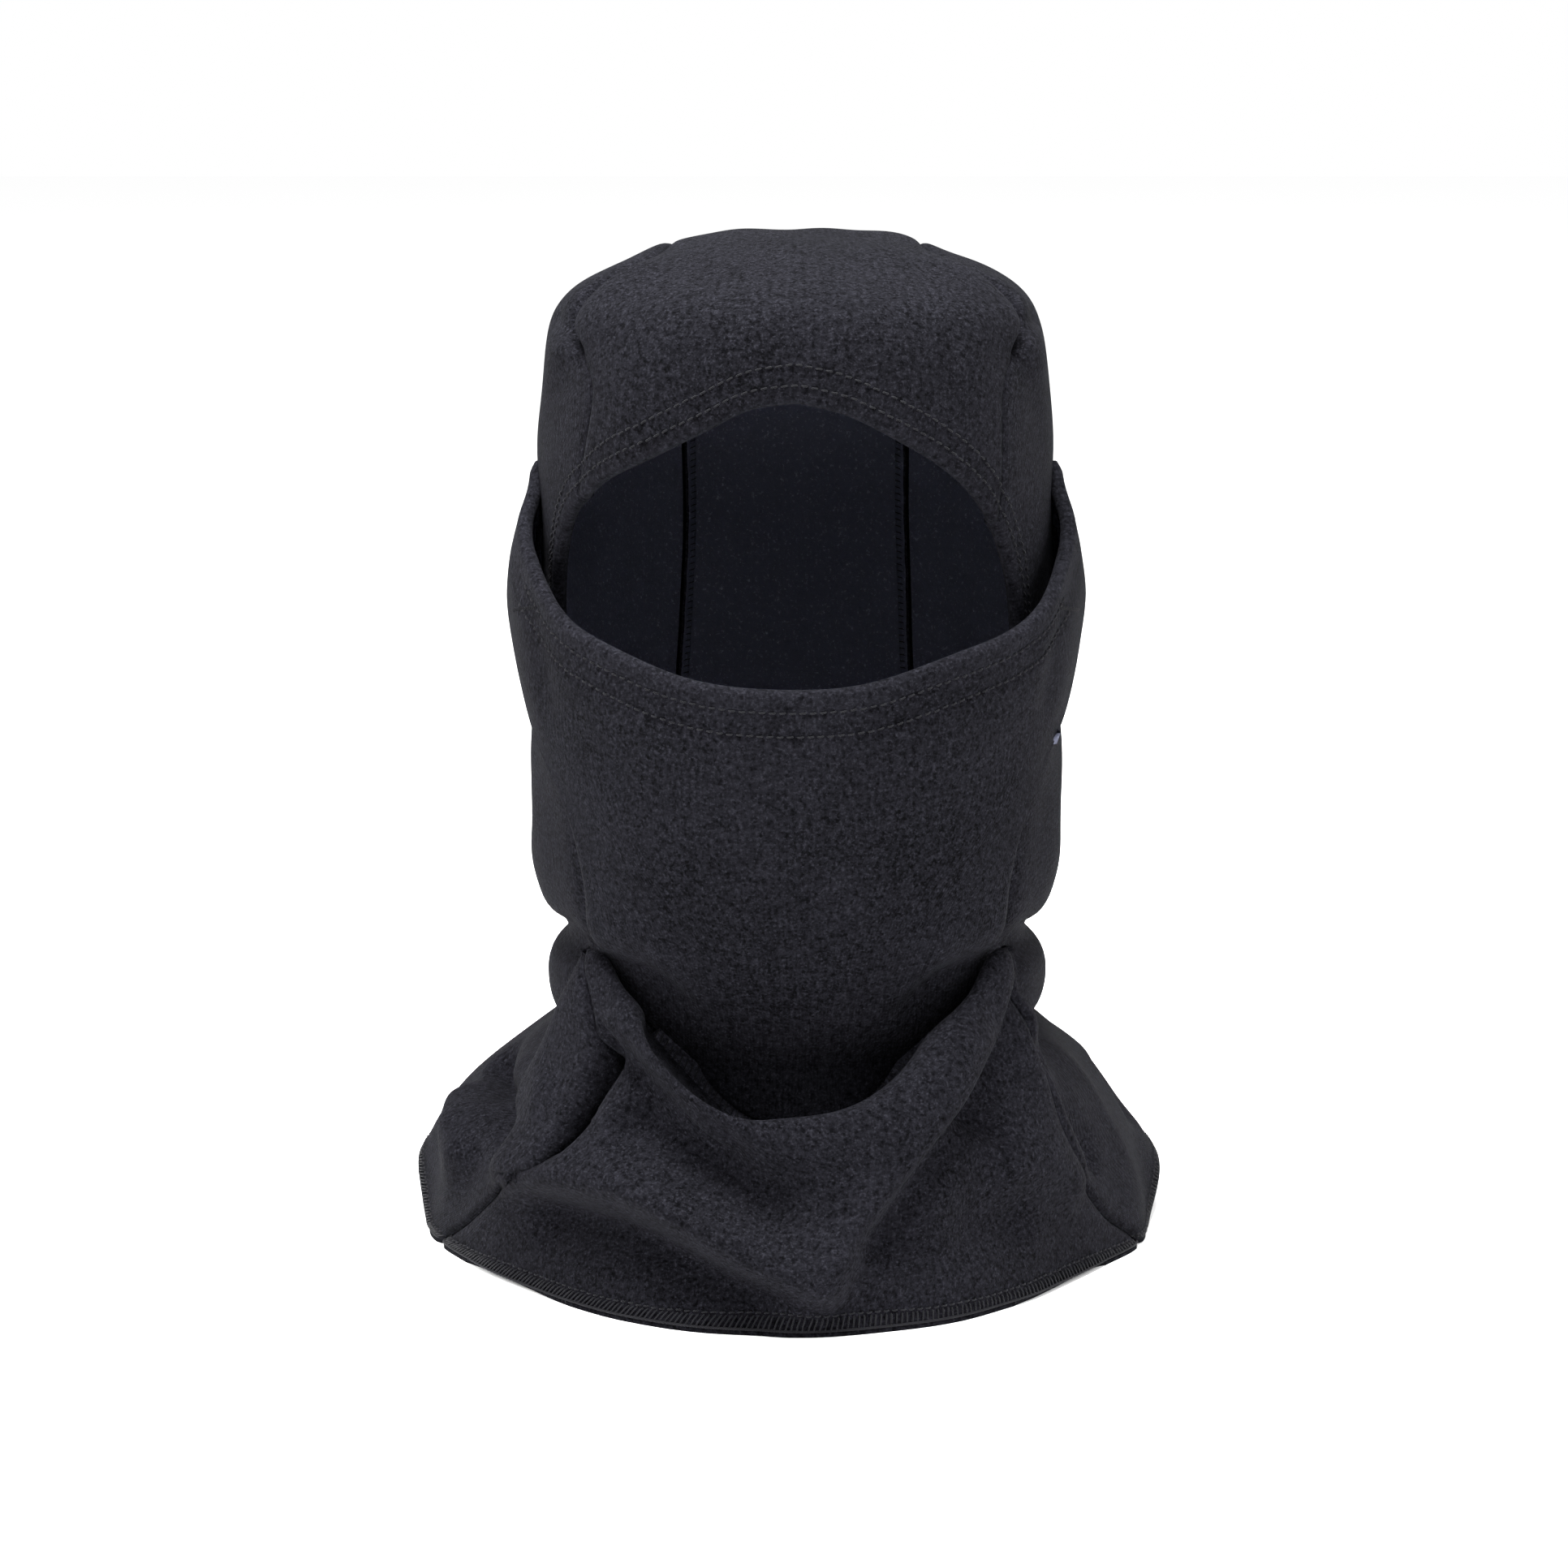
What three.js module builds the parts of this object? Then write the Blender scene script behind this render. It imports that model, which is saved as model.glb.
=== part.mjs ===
// A pull-on winter balaclava of brushed fleece: a three-panel hood with a face opening,
// a mask that folds down off the nose, and a bib that spreads over the shoulders.
// Millimetres, +Z up. The wearer looks along -Y, so the wearer's left is +X.
// The origin is on the ground, under the middle of the neck.

import * as THREE from 'three';

// Driving dimensions
const fleece = 2.4;            // thickness of one layer of fleece
const seamGap = 0.8;           // clear space between two panels that meet at a seam
const layerGap = 0.6;          // clear space between layers that lie on each other
const neckAxisY = 5;           // the upright axis that the hood and neck are built around
const shoulderHeight = 250;    // below this the hood's sides stand upright
const crownHeight = 355;       // top of the crown
const neckHeight = 78;         // neck seam, where the hood meets the bib
const maskReach = 3.4;         // how far the mask's outside stands off the hood where it is sewn
const faceHemWidth = 14;       // hem turned in round the face opening
const maskHemWidth = 17;       // hem turned in along the mask's upper edge
const elasticWidth = 6;        // tape inside the mask's hem
const stitchRadius = 0.35;
const seamRadius = 0.8;        // overlocked seam allowance, drawn as a bead

// Hood outline at rising heights: height, half width, depth in front, depth behind, squareness
const hoodOutline = [
  [78, 81, 74, 83, 2.3],
  [88, 85.5, 77, 87, 2.3],
  [99, 87, 79, 90, 2.3],
  [107, 86, 79, 90, 2.3],
  [113, 84.5, 78, 89, 2.3],
  [121, 89, 80, 92, 2.3],
  [136, 93.5, 86, 98, 2.3],
  [152, 94, 90, 102, 2.3],
  [170, 93.5, 93, 106, 2.3],
  [185, 92, 95, 108, 2.35],
  [205, 89.5, 97, 110, 2.4],
  [240, 88.5, 100, 111, 2.45],
  [268, 88.7, 103, 110, 2.45],
  [286, 89, 104, 108, 2.45],
  [307, 87, 104, 106, 2.45],
  [326, 84.5, 102, 103, 2.45],
  [345, 82.5, 98, 99, 2.45],
  [360, 81, 95, 96, 2.45],
];

// Mask outline at rising heights: height, half width, depth in front, squareness
const maskOutline = [
  [80, 66, 88, 2.2],
  [100, 78, 97, 2.25],
  [120, 86, 103, 2.3],
  [148, 91, 112, 2.3],
  [185, 94, 118, 2.35],
  [215, 99, 119, 2.4],
  [240, 101, 118, 2.4],
  [262, 97, 114, 2.4],
  [280, 93.2, 110, 2.4],
];

// Half angle that the mask covers at rising heights of its side edge: height, degrees
const maskSideEdge = [
  [118, 50], [132, 47], [148, 45.5], [160, 46], [176, 50], [192, 62], [207, 77], [222, 86], [240, 89],
  [262, 84], [280, 78],
];
// Height of the mask's lower edge round the chin: degrees from the front, height
const maskFootEdge = [[0, 62], [10, 64.5], [20, 75], [30, 89], [38, 101.5], [45, 111.5], [56, 115]];
const maskHemLow = 215;
const maskHemHigh = 279;

// Face opening in front view, from the brow down to the neck, on the wearer's left and right: x, height
const openingLeft = [[0, 307.5], [16, 305.5], [32, 298], [48, 286], [62, 270], [70, 252], [74, 234],
  [76.5, 205], [72, 183], [64, 160], [60, 140], [63, 118], [72.5, 98], [73, 79]];
const openingRight = [[0, 307.5], [-16, 306.5], [-32, 300], [-50, 290], [-66, 276], [-75, 260], [-79, 234],
  [-79.5, 205], [-74, 183], [-64, 160], [-60, 140], [-63, 118], [-72.5, 98], [-73, 79]];

// Crown seam on the wearer's left, from the brow over the top to the nape
const crownSeam = [
  [62, -71, 289], [65, -69, 304], [69, -64, 318], [73, -57, 328], [68, -45, 336], [58, -34, 342],
  [48, -12, 347], [44, 15, 348], [42, 48, 344], [42, 82, 328], [43, 104, 296], [44, 112, 250],
  [45, 108, 200], [46, 96, 150], [47, 82, 110], [48, 72, 79],
];
const crownMiddle = [
  [0, -99, 307], [0, -98, 318], [0, -95, 328], [0, -88, 338], [0, -70, 347], [0, -48, 352],
  [0, -20, 354], [0, 15, 354], [0, 48, 350], [0, 85, 334], [0, 108, 300], [0, 115, 250],
  [0, 112, 200], [0, 100, 150], [0, 92, 110], [0, 88, 79],
];

// Bib, from the middle of the front round to the middle of the back: the hem, the cowl's ridge,
// the valley behind it and the upper seam. The wearer's left; the right is its mirror image.
const bibColumns = [
  { hem: [0, -124, 0], ridge: [0, -117, 73], valley: [0, -102, 44], seam: [0, -82.6, 59.5] },
  { hem: [30, -120, 0], ridge: [24, -114, 77], valley: [22, -99, 50], seam: [18, -80, 63] },
  { hem: [56, -107, 0], ridge: [44, -103, 91], valley: [38, -88, 66], seam: [34, -73.5, 74] },
  { hem: [75, -90, 0], ridge: [57, -87, 107], valley: [53, -79, 88], seam: [48, -71, 88] },
  { hem: [89, -75, 0], ridge: [65, -76, 118], valley: [61, -71.5, 105], seam: [58, -66, 98] },
  { hem: [99, -62, 0], ridge: [71, -66, 117], valley: [67, -63, 110], seam: [64.5, -61.5, 104] },
  { hem: [107, -50, 0], ridge: [73, -58, 103], valley: [70, -56, 101], seam: [67.5, -54.5, 103] },
  { hem: [114, -38, 0], ridge: [74, -50, 84], valley: [71, -47.5, 85], seam: [68, -46, 92] },
  { hem: [120, -25, 0], ridge: [76.5, -38, 76], valley: [70, -34, 75], seam: [69, -31, 86] },
  { hem: [125, -10, 0], ridge: [80, -20, 76], valley: [75, -19, 76], seam: [74.5, -18.5, 86] },
  { hem: [130.5, 10, 6], ridge: [81, 5, 76], valley: [77, 5, 76.5], seam: [76, 5, 86] },
  { hem: [133, 32, 13], ridge: [79, 29, 76], valley: [75, 28, 76.5], seam: [74, 27.5, 86] },
  { hem: [132, 54, 16], ridge: [72, 50, 76], valley: [69, 48, 76.5], seam: [68, 47, 86] },
  { hem: [125, 76, 13], ridge: [61, 66, 76], valley: [58, 63, 76.5], seam: [57.5, 62, 86] },
  { hem: [109, 98, 6], ridge: [46, 77.5, 76], valley: [44, 74, 76.5], seam: [43.5, 73, 86] },
  { hem: [84, 113, 0], ridge: [31, 84, 76], valley: [30, 80, 76.5], seam: [29.5, 79, 86] },
  { hem: [44, 122, 0], ridge: [15, 87.4, 76], valley: [14, 83.4, 76.5], seam: [14, 82.4, 86] },
  { hem: [0, 124, 0], ridge: [0, 88, 76], valley: [0, 84, 76.5], seam: [0, 83, 86] },
];
const bibSideColumn = 9;       // column under the ear, where the bib is full in front and behind
const bibRidgeShare = 0.68;    // share of a column's way up that lies outside, below the ridge
// Side seam of the bib: share of the way up to the ridge, column that the seam has reached
const bibSideSeam = [
  [0, 8.2], [0.06, 7.7], [0.15, 6.6], [0.25, 5.6], [0.38, 5.0], [0.6, 4.9], [0.8, 4.8], [1, 5.0],
];

const charcoal = (shade) => new THREE.MeshStandardMaterial({
  color: new THREE.Color(shade, shade, shade * 1.08), roughness: 0.95, metalness: 0,
});
const group = new THREE.Group();

const mix = (a, b, t) => a + (b - a) * t;
const clamp = (t) => Math.min(1, Math.max(0, t));
const radians = (degrees) => degrees * Math.PI / 180;

// Value of one column of an outline at a height, on a smooth curve through its rows
function outlineAt(rows, height, column) {
  let i = 0;
  while (i < rows.length - 2 && height > rows[i + 1][0]) i += 1;
  const slope = (k) => {
    const before = rows[Math.max(0, k - 1)];
    const after = rows[Math.min(rows.length - 1, k + 1)];
    return (after[column] - before[column]) / (after[0] - before[0]);
  };
  const span = rows[i + 1][0] - rows[i][0];
  const t = clamp((height - rows[i][0]) / span);
  const t2 = t * t;
  const t3 = t2 * t;
  return (2 * t3 - 3 * t2 + 1) * rows[i][column] + (t3 - 2 * t2 + t) * span * slope(i)
    + (3 * t2 - 2 * t3) * rows[i + 1][column] + (t3 - t2) * span * slope(i + 1);
}

// How far out a point lies across the hood's upright wall: 1 is on the wall
function wallReach(x, y, height) {
  const along = y - neckAxisY;
  const halfWidth = outlineAt(hoodOutline, height, 1);
  const depth = outlineAt(hoodOutline, height, along < 0 ? 2 : 3);
  const squareness = outlineAt(hoodOutline, height, 4);
  const sum = (Math.abs(x) / halfWidth) ** squareness + (Math.abs(along) / depth) ** squareness;
  return sum ** (1 / squareness);
}

// Height of the crown over a point, before its edge is rounded into the walls
function roofHeight(x, y) {
  const along = y - neckAxisY;
  const fall = along < 0 ? 0.0017 : 0.0030;
  return crownHeight - 0.0032 * x * x - fall * along * along;
}

function hoodReach(x, y, height) {
  const wall = wallReach(x, y, height);
  if (height <= shoulderHeight) return wall;
  const roof = (height - shoulderHeight) / Math.max(1, roofHeight(x, y) - shoulderHeight);
  const back = clamp((y - neckAxisY) / 60);
  const crispness = mix(16, 5, back * back * (3 - 2 * back));
  return (wall ** crispness + Math.max(0, roof) ** crispness) ** (1 / crispness);
}

// Moves a point straight out from the hood's inside until it lies on the hood
function onHood(point) {
  const centre = new THREE.Vector3(0, neckAxisY, Math.min(point.z, shoulderHeight));
  const ray = point.clone().sub(centre).normalize();
  let near = 0;
  let far = 260;
  for (let i = 0; i < 40; i += 1) {
    const half = (near + far) / 2;
    const p = centre.clone().addScaledVector(ray, half);
    if (hoodReach(p.x, p.y, p.z) < 1) near = half;
    else far = half;
  }
  return centre.addScaledVector(ray, near);
}

// Point on the front of the hood, seen from the front at x and height
function hoodFront(x, height) {
  let near = neckAxisY;
  let far = -180;
  for (let i = 0; i < 40; i += 1) {
    const half = (near + far) / 2;
    if (hoodReach(x, half, height) < 1) near = half;
    else far = half;
  }
  return new THREE.Vector3(x, near, height);
}

function hoodNormal(point) {
  const d = 0.5;
  const reach = (x, y, z) => hoodReach(point.x + x, point.y + y, point.z + z);
  return new THREE.Vector3(
    reach(d, 0, 0) - reach(-d, 0, 0),
    reach(0, d, 0) - reach(0, -d, 0),
    reach(0, 0, d) - reach(0, 0, -d),
  ).normalize();
}

function hoodRadius(angle, height) {
  const x = Math.sin(angle);
  const y = -Math.cos(angle);
  return 1 / wallReach(x, y + neckAxisY, height);
}

// Point on the mask at an angle round the neck axis (0 in front) and a height
function onMask(angle, height) {
  const halfWidth = outlineAt(maskOutline, height, 1);
  const depth = outlineAt(maskOutline, height, 2);
  const squareness = outlineAt(maskOutline, height, 3);
  const sine = Math.abs(Math.sin(angle));
  const cosine = Math.abs(Math.cos(angle));
  const free = ((sine / halfWidth) ** squareness + (cosine / depth) ** squareness) ** (-1 / squareness);
  const sewn = hoodRadius(angle, height) + maskReach;
  const spare = free - sewn;
  const radius = sewn + (spare + Math.hypot(spare, 3)) / 2 - 0.6;
  return new THREE.Vector3(
    radius * Math.sin(angle),
    neckAxisY - radius * Math.cos(angle),
    height,
  );
}

const vector = (p) => new THREE.Vector3(...p);
const curveThrough = (points) => new THREE.CatmullRomCurve3(points, false, 'catmullrom', 0.5);

// Rows of points, in a grid, by calling a surface on fractions across and along
function gridOf(surface, across, along) {
  const rows = [];
  for (let j = 0; j <= along; j += 1) {
    const row = [];
    for (let i = 0; i <= across; i += 1) row.push(surface(i / across, j / along));
    rows.push(row);
  }
  return rows;
}

// Normals of a grid, from its neighbouring points
function normalsOf(rows) {
  return rows.map((row, j) => row.map((point, i) => {
    const along = rows[Math.min(rows.length - 1, j + 1)][i].clone().sub(rows[Math.max(0, j - 1)][i]);
    const across = row[Math.min(row.length - 1, i + 1)].clone().sub(row[Math.max(0, i - 1)]);
    return across.cross(along).normalize();
  }));
}

function addMesh(name, positions, faces, material) {
  const geometry = new THREE.BufferGeometry();
  geometry.setAttribute('position', new THREE.Float32BufferAttribute(positions, 3));
  geometry.setIndex(faces);
  geometry.computeVertexNormals();
  const mesh = new THREE.Mesh(geometry, material);
  mesh.name = name;
  group.add(mesh);
}

// A layer of cloth: the outer face is the grid moved in by depth, the inner face thickness deeper
function addCloth(name, rows, material, { thickness = fleece, depth = 0, normals = normalsOf(rows) } = {}) {
  const across = rows[0].length;
  const count = rows.length * across;
  const positions = [];
  [depth, depth + thickness].forEach((inset) => {
    rows.forEach((row, j) => row.forEach((point, i) => {
      positions.push(...point.clone().addScaledVector(normals[j][i], -inset).toArray());
    }));
  });
  const faces = [];
  const quad = (a, b, c, d) => faces.push(a, b, c, a, c, d);
  for (let j = 0; j < rows.length - 1; j += 1) {
    for (let i = 0; i < across - 1; i += 1) {
      const a = j * across + i;
      quad(a, a + 1, a + across + 1, a + across);
      quad(count + a, count + a + across, count + a + across + 1, count + a + 1);
    }
  }
  for (let i = 0; i < across - 1; i += 1) {
    const top = (rows.length - 1) * across + i;
    quad(i, count + i, count + i + 1, i + 1);
    quad(top, top + 1, count + top + 1, count + top);
  }
  for (let j = 0; j < rows.length - 1; j += 1) {
    const a = j * across;
    const b = a + across - 1;
    quad(a, a + across, count + a + across, count + a);
    quad(b, count + b, count + b + across, b + across);
  }
  addMesh(name, positions, faces, material);
}

// A round bead of thread or seam along points, lifted by height along the normals
function addBead(name, points, normals, radius, height, material) {
  const sides = 4;
  const positions = [];
  points.forEach((point, k) => {
    const before = points[Math.max(0, k - 1)];
    const after = points[Math.min(points.length - 1, k + 1)];
    const along = after.clone().sub(before).normalize();
    const side = along.clone().cross(normals[k]).normalize();
    const up = side.clone().cross(along);
    const centre = point.clone().addScaledVector(normals[k], height);
    for (let s = 0; s < sides; s += 1) {
      const turn = (s / sides) * Math.PI * 2;
      positions.push(...centre.clone()
        .addScaledVector(side, Math.cos(turn) * radius)
        .addScaledVector(up, Math.sin(turn) * radius).toArray());
    }
  });
  const faces = [];
  for (let k = 0; k < points.length - 1; k += 1) {
    for (let s = 0; s < sides; s += 1) {
      const a = k * sides + s;
      const b = k * sides + ((s + 1) % sides);
      faces.push(a, a + sides, b, b, a + sides, b + sides);
    }
  }
  const last = (points.length - 1) * sides;
  for (let s = 1; s < sides - 1; s += 1) {
    faces.push(0, s, s + 1);
    faces.push(last, last + s + 1, last + s);
  }
  addMesh(name, positions, faces, material);
}

// Face opening, as a curve on the hood from the middle of the brow down one side
function openingCurve(side) {
  const outline = side > 0 ? openingLeft : openingRight;
  return curveThrough(outline.map(([x, height]) => hoodFront(x, height)));
}
const openings = { left: openingCurve(1), right: openingCurve(-1) };
const seamShare = 0.335;        // where along the opening the crown seam meets it

// Crown seam, snapped to the hood, with its first point on the face opening
function crownSeamCurve(sideName) {
  const sign = sideName === 'left' ? 1 : -1;
  const points = crownSeam.map(([x, y, z]) => onHood(new THREE.Vector3(sign * x, y, z)));
  points[0] = openings[sideName].getPoint(seamShare);
  return curveThrough(points);
}
const crownSeams = { left: crownSeamCurve('left'), right: crownSeamCurve('right') };

// The crown panel runs from the brow over the top to the nape, between the two seams
function addCrown() {
  const middle = curveThrough(crownMiddle.map((p) => onHood(vector(p))));
  const surface = (across, along) => {
    const share = Math.abs(across - 0.5) * 2;
    const sideName = across > 0.5 ? 'left' : 'right';
    const edge = crownSeams[sideName].getPoint(along);
    const centre = middle.getPoint(along);
    const inner = share * (1 - seamGap / 2 / Math.max(30, centre.distanceTo(edge)));
    if (along === 0) return onHood(openings[sideName].getPoint(seamShare * inner));
    const point = centre.clone().lerp(edge, inner);
    const brow = onHood(openings[sideName].getPoint(seamShare * inner));
    const browPull = Math.max(0, 1 - along * 7);
    const start = middle.getPoint(0).lerp(crownSeams[sideName].getPoint(0), inner);
    point.addScaledVector(brow.sub(start), browPull * browPull);
    return onHood(point);
  };
  const rows = gridOf(surface, 12, 26);
  addCloth('crown_panel', rows, charcoal(0.045), { normals: rows.map((row) => row.map(hoodNormal)) });
}
addCrown();

// A side panel fills the space between the face opening, the crown seam and the neck seam
const seamBreak = 0.55;         // part of the crown seam that is the side panel's upper edge
function addSide(sideName) {
  const opening = openings[sideName];
  const seam = crownSeams[sideName];
  const sign = sideName === 'left' ? 1 : -1;
  const front = (t) => opening.getPoint(mix(seamShare, 1, t));
  const upper = (s) => seam.getPoint(s * seamBreak);
  const rear = (t) => seam.getPoint(mix(seamBreak, 1, t));
  const startAngle = Math.atan2(Math.abs(front(1).x), neckAxisY - front(1).y);
  const endAngle = Math.atan2(Math.abs(rear(1).x), neckAxisY - rear(1).y);
  const lower = (s) => {
    const angle = mix(startAngle, endAngle, s);
    const radius = hoodRadius(angle, neckHeight);
    return new THREE.Vector3(
      sign * radius * Math.sin(angle),
      neckAxisY - radius * Math.cos(angle),
      mix(front(1).z, rear(1).z, s),
    );
  };
  const trim = 0.006;
  const surface = (across, along) => {
    const s = mix(trim, 1 - trim, sideName === 'left' ? across : 1 - across);
    const t = mix(1, trim, along);
    const point = front(t).multiplyScalar(1 - s).addScaledVector(rear(t), s)
      .addScaledVector(upper(s), 1 - t).addScaledVector(lower(s), t);
    point.addScaledVector(upper(0), -(1 - s) * (1 - t)).addScaledVector(upper(1), -s * (1 - t));
    point.addScaledVector(lower(0), -(1 - s) * t).addScaledVector(lower(1), -s * t);
    return onHood(point);
  };
  const rows = gridOf(surface, 18, 20);
  const normals = rows.map((row) => row.map(hoodNormal));
  addCloth(`side_panel_${sideName}`, rows, charcoal(0.05), { normals });
}
addSide('left');
addSide('right');

// Hem turned in round the face opening, and the two rows of stitches that hold it
function browLine(inset, steps, reach) {
  const points = [];
  for (let k = -steps; k <= steps; k += 1) {
    const share = (Math.abs(k) / steps) * reach;
    const curve = k < 0 ? openings.right : openings.left;
    const point = curve.getPoint(share);
    const normal = hoodNormal(point);
    const along = curve.getTangent(share).multiplyScalar(k < 0 ? -1 : 1);
    points.push(onHood(point.addScaledVector(normal.cross(along), inset)));
  }
  return points;
}

const faceHemReach = 0.8;      // share of the way down the opening that the hem is turned in
const browRows = { outer: 12.8, inner: 6.2, reach: 0.6, steps: 22, lift: 0.4 };
function addFaceHem() {
  const insets = [layerGap, faceHemWidth / 2, faceHemWidth];
  addCloth('face_hem', insets.map((inset) => browLine(inset, browRows.steps, faceHemReach)), charcoal(0.04), {
    thickness: 1.6,
    depth: fleece + 1.5 * layerGap,
    normals: insets.map((inset) => browLine(inset, browRows.steps, faceHemReach).map(hoodNormal)),
  });
  ['outer', 'inner'].forEach((name) => {
    const line = browLine(browRows[name], browRows.steps, browRows.reach);
    const lift = stitchRadius + browRows.lift;
    addBead(`brow_topstitch_${name}`, line, line.map(hoodNormal), stitchRadius, lift, charcoal(0.12));
  });
}
addFaceHem();

// Overlocked seam allowance inside the crown seams
function addCrownSeam(sideName) {
  const seam = crownSeams[sideName];
  const points = [];
  for (let k = 0; k <= 32; k += 1) points.push(onHood(seam.getPoint(mix(0.09, 0.94, k / 32))));
  const drop = -(fleece + 3 * layerGap + seamRadius);
  addBead(`crown_seam_${sideName}`, points, points.map(hoodNormal), seamRadius, drop, charcoal(0.03));
}
addCrownSeam('left');
addCrownSeam('right');

// Mask: across runs from the wearer's right to left, along runs down from the hem
function maskHemHeight(across) {
  return mix(maskHemLow, maskHemHigh, Math.abs(across) ** 2.2);
}
function maskFoot(angle) {
  return outlineAt(maskFootEdge, Math.abs(angle) * 180 / Math.PI, 1);
}
function maskPoint(across, along, drop = 0) {
  const edgeHeight = mix(maskHemHigh, 118, along);
  const angle = across * radians(outlineAt(maskSideEdge, edgeHeight, 1));
  const top = maskHemHeight(across);
  return onMask(angle, mix(top, maskFoot(angle), along) - drop);
}

const cheek = 0.74;            // the turned-in hem and its tape reach from cheek to cheek
const maskRows = { upper: 7.4, lower: 15.3, lift: 0.5 };
const elasticTop = 8;          // how far below the edge the tape starts
function addMask() {
  const rows = gridOf((across, along) => maskPoint(across * 2 - 1, 1 - along), 26, 15);
  addCloth('mask_panel', rows, charcoal(0.045));
  const bands = [
    ['mask_hem', maskHemWidth, 1.6, fleece + 1.2 + 2 * layerGap, 0.6],
    ['mask_elastic', elasticTop + elasticWidth, 1.0, fleece + layerGap * 0.9, elasticTop],
  ];
  bands.forEach(([name, low, thickness, depth, high]) => {
    const surface = (across, along) => maskPoint((across * 2 - 1) * cheek, 0, mix(low, high, along));
    const band = gridOf(surface, 20, 2);
    addCloth(name, band, charcoal(0.04), { thickness, depth });
  });
  ['upper', 'lower'].forEach((name) => {
    const drop = maskRows[name];
    const line = gridOf((across) => maskPoint((across * 2 - 1) * cheek, 0, drop), 32, 1)[0];
    const below = gridOf((across) => maskPoint((across * 2 - 1) * cheek, 0, drop + 3), 32, 1)[0];
    const normals = normalsOf([below, line])[1];
    const lift = stitchRadius + maskRows.lift;
    addBead(`mask_topstitch_${name}`, line, normals, stitchRadius, lift, charcoal(0.12));
  });
}
addMask();

// Seam that holds the mask's rear edge to the side panel, on the inside, and its bartack
const maskSeam = { from: 128, to: 236, inside: 3, drop: -(fleece + layerGap + seamRadius + 2.6) };
const bartack = { height: 236, from: 78, to: 87, radius: 0.5, lift: 0.9 };
function addMaskSeam(sideName) {
  const sign = sideName === 'left' ? 1 : -1;
  const points = [];
  for (let k = 0; k <= 24; k += 1) {
    const height = mix(maskSeam.from, maskSeam.to, k / 24);
    const angle = sign * radians(outlineAt(maskSideEdge, height, 1) + maskSeam.inside);
    const ray = new THREE.Vector3(50 * Math.sin(angle), neckAxisY - 50 * Math.cos(angle), height);
    points.push(onHood(ray));
  }
  addBead(`mask_seam_${sideName}`, points, points.map(hoodNormal), seamRadius, maskSeam.drop, charcoal(0.03));
  const tack = [];
  for (let k = 0; k <= 4; k += 1) {
    tack.push(onMask(sign * radians(mix(bartack.from, bartack.to, k / 4)), bartack.height));
  }
  const outward = tack.map((p) => new THREE.Vector3(p.x, (p.y - neckAxisY) * 0.7, 0).normalize());
  addBead(`bartack_${sideName}`, tack, outward, bartack.radius, bartack.lift, charcoal(0.08));
}
addMaskSeam('left');
addMaskSeam('right');

// Closed curves round the neck through the bib's columns
const bibRound = 2 * (bibColumns.length - 1);
function bibLoop(key) {
  const left = bibColumns.map((column) => vector(column[key]));
  const right = left.slice(1, -1).reverse().map((p) => new THREE.Vector3(-p.x, p.y, p.z));
  return new THREE.CatmullRomCurve3([...left, ...right], true, 'catmullrom', 0.5);
}
const bibLoops = Object.fromEntries(['hem', 'ridge', 'valley', 'seam'].map((key) => [key, bibLoop(key)]));

// How far the bib swells between its hem and its ridge, by column
function bibFullness(column) {
  if (column <= bibSideColumn) return mix(0.25, 0.78, (column / bibSideColumn) ** 1.5);
  const behind = (column - bibSideColumn) / (bibColumns.length - 1 - bibSideColumn);
  return mix(0.35, 0.78, (1 - behind) ** 6);
}

// Point of the bib at a column (negative on the wearer's right) and a share of the way up
function bibPoint(column, along) {
  const turn = ((column % bibRound) + bibRound) % bibRound;
  const at = (key) => bibLoops[key].getPoint(turn / bibRound);
  const hem = at('hem');
  const ridge = at('ridge');
  if (along <= bibRidgeShare) {
    const fullness = bibFullness(Math.min(turn, bibRound - turn));
    const v = along / bibRidgeShare;
    const inward = mix(v, 1 - Math.cos(v * Math.PI / 2), fullness);
    const upward = mix(v, Math.sin(v * Math.PI / 2), fullness);
    const height = mix(hem.z, ridge.z, upward);
    return new THREE.Vector3(mix(hem.x, ridge.x, inward), mix(hem.y, ridge.y, inward), height);
  }
  const over = new THREE.QuadraticBezierCurve3(ridge, at('valley'), at('seam'));
  return over.getPoint((along - bibRidgeShare) / (1 - bibRidgeShare));
}

function bibSeamColumn(along) {
  return outlineAt(bibSideSeam, Math.min(1, along / bibRidgeShare), 1);
}

// A panel of the bib, with its hem cut level so that it stands flat
function addBibPanel(name, surface, across, along, shade) {
  const rows = gridOf(surface, across, along);
  const normals = normalsOf(rows);
  normals[0].forEach((normal) => normal.setZ(0).normalize());
  addCloth(name, rows, charcoal(shade), { normals });
}

// Overlocked band outside a stretch of the hem, standing a little clear of the ground
const hemBand = { low: 0.006, high: 0.067, thickness: 0.8, standOff: 1.7 };
function addHemBand(name, surface, steps) {
  const rows = gridOf((across, along) => surface(across, mix(hemBand.low, hemBand.high, along)), steps, 1);
  const normals = normalsOf(rows).map((row) => row.map((normal) => normal.setZ(0).normalize()));
  addCloth(name, rows, charcoal(0.09), { thickness: hemBand.thickness, depth: -hemBand.standOff, normals });
}

// Overlocked seam allowances lie inside the cloth, as beads
const allowanceDrop = -(fleece + 1.5 * layerGap + seamRadius);

function addBibSeam(sideName) {
  const sign = sideName === 'left' ? 1 : -1;
  const rows = gridOf((across, along) => {
    const height = mix(0.09, 0.58, along);
    return bibPoint(sign * bibSeamColumn(height) + (across - 0.5) * 0.3, height);
  }, 2, 14);
  const normals = normalsOf(rows).map((row) => row[1]);
  const line = rows.map((row) => row[1]);
  addBead(`bib_side_seam_${sideName}`, line, normals, seamRadius, allowanceDrop, charcoal(0.03));
}

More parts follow.
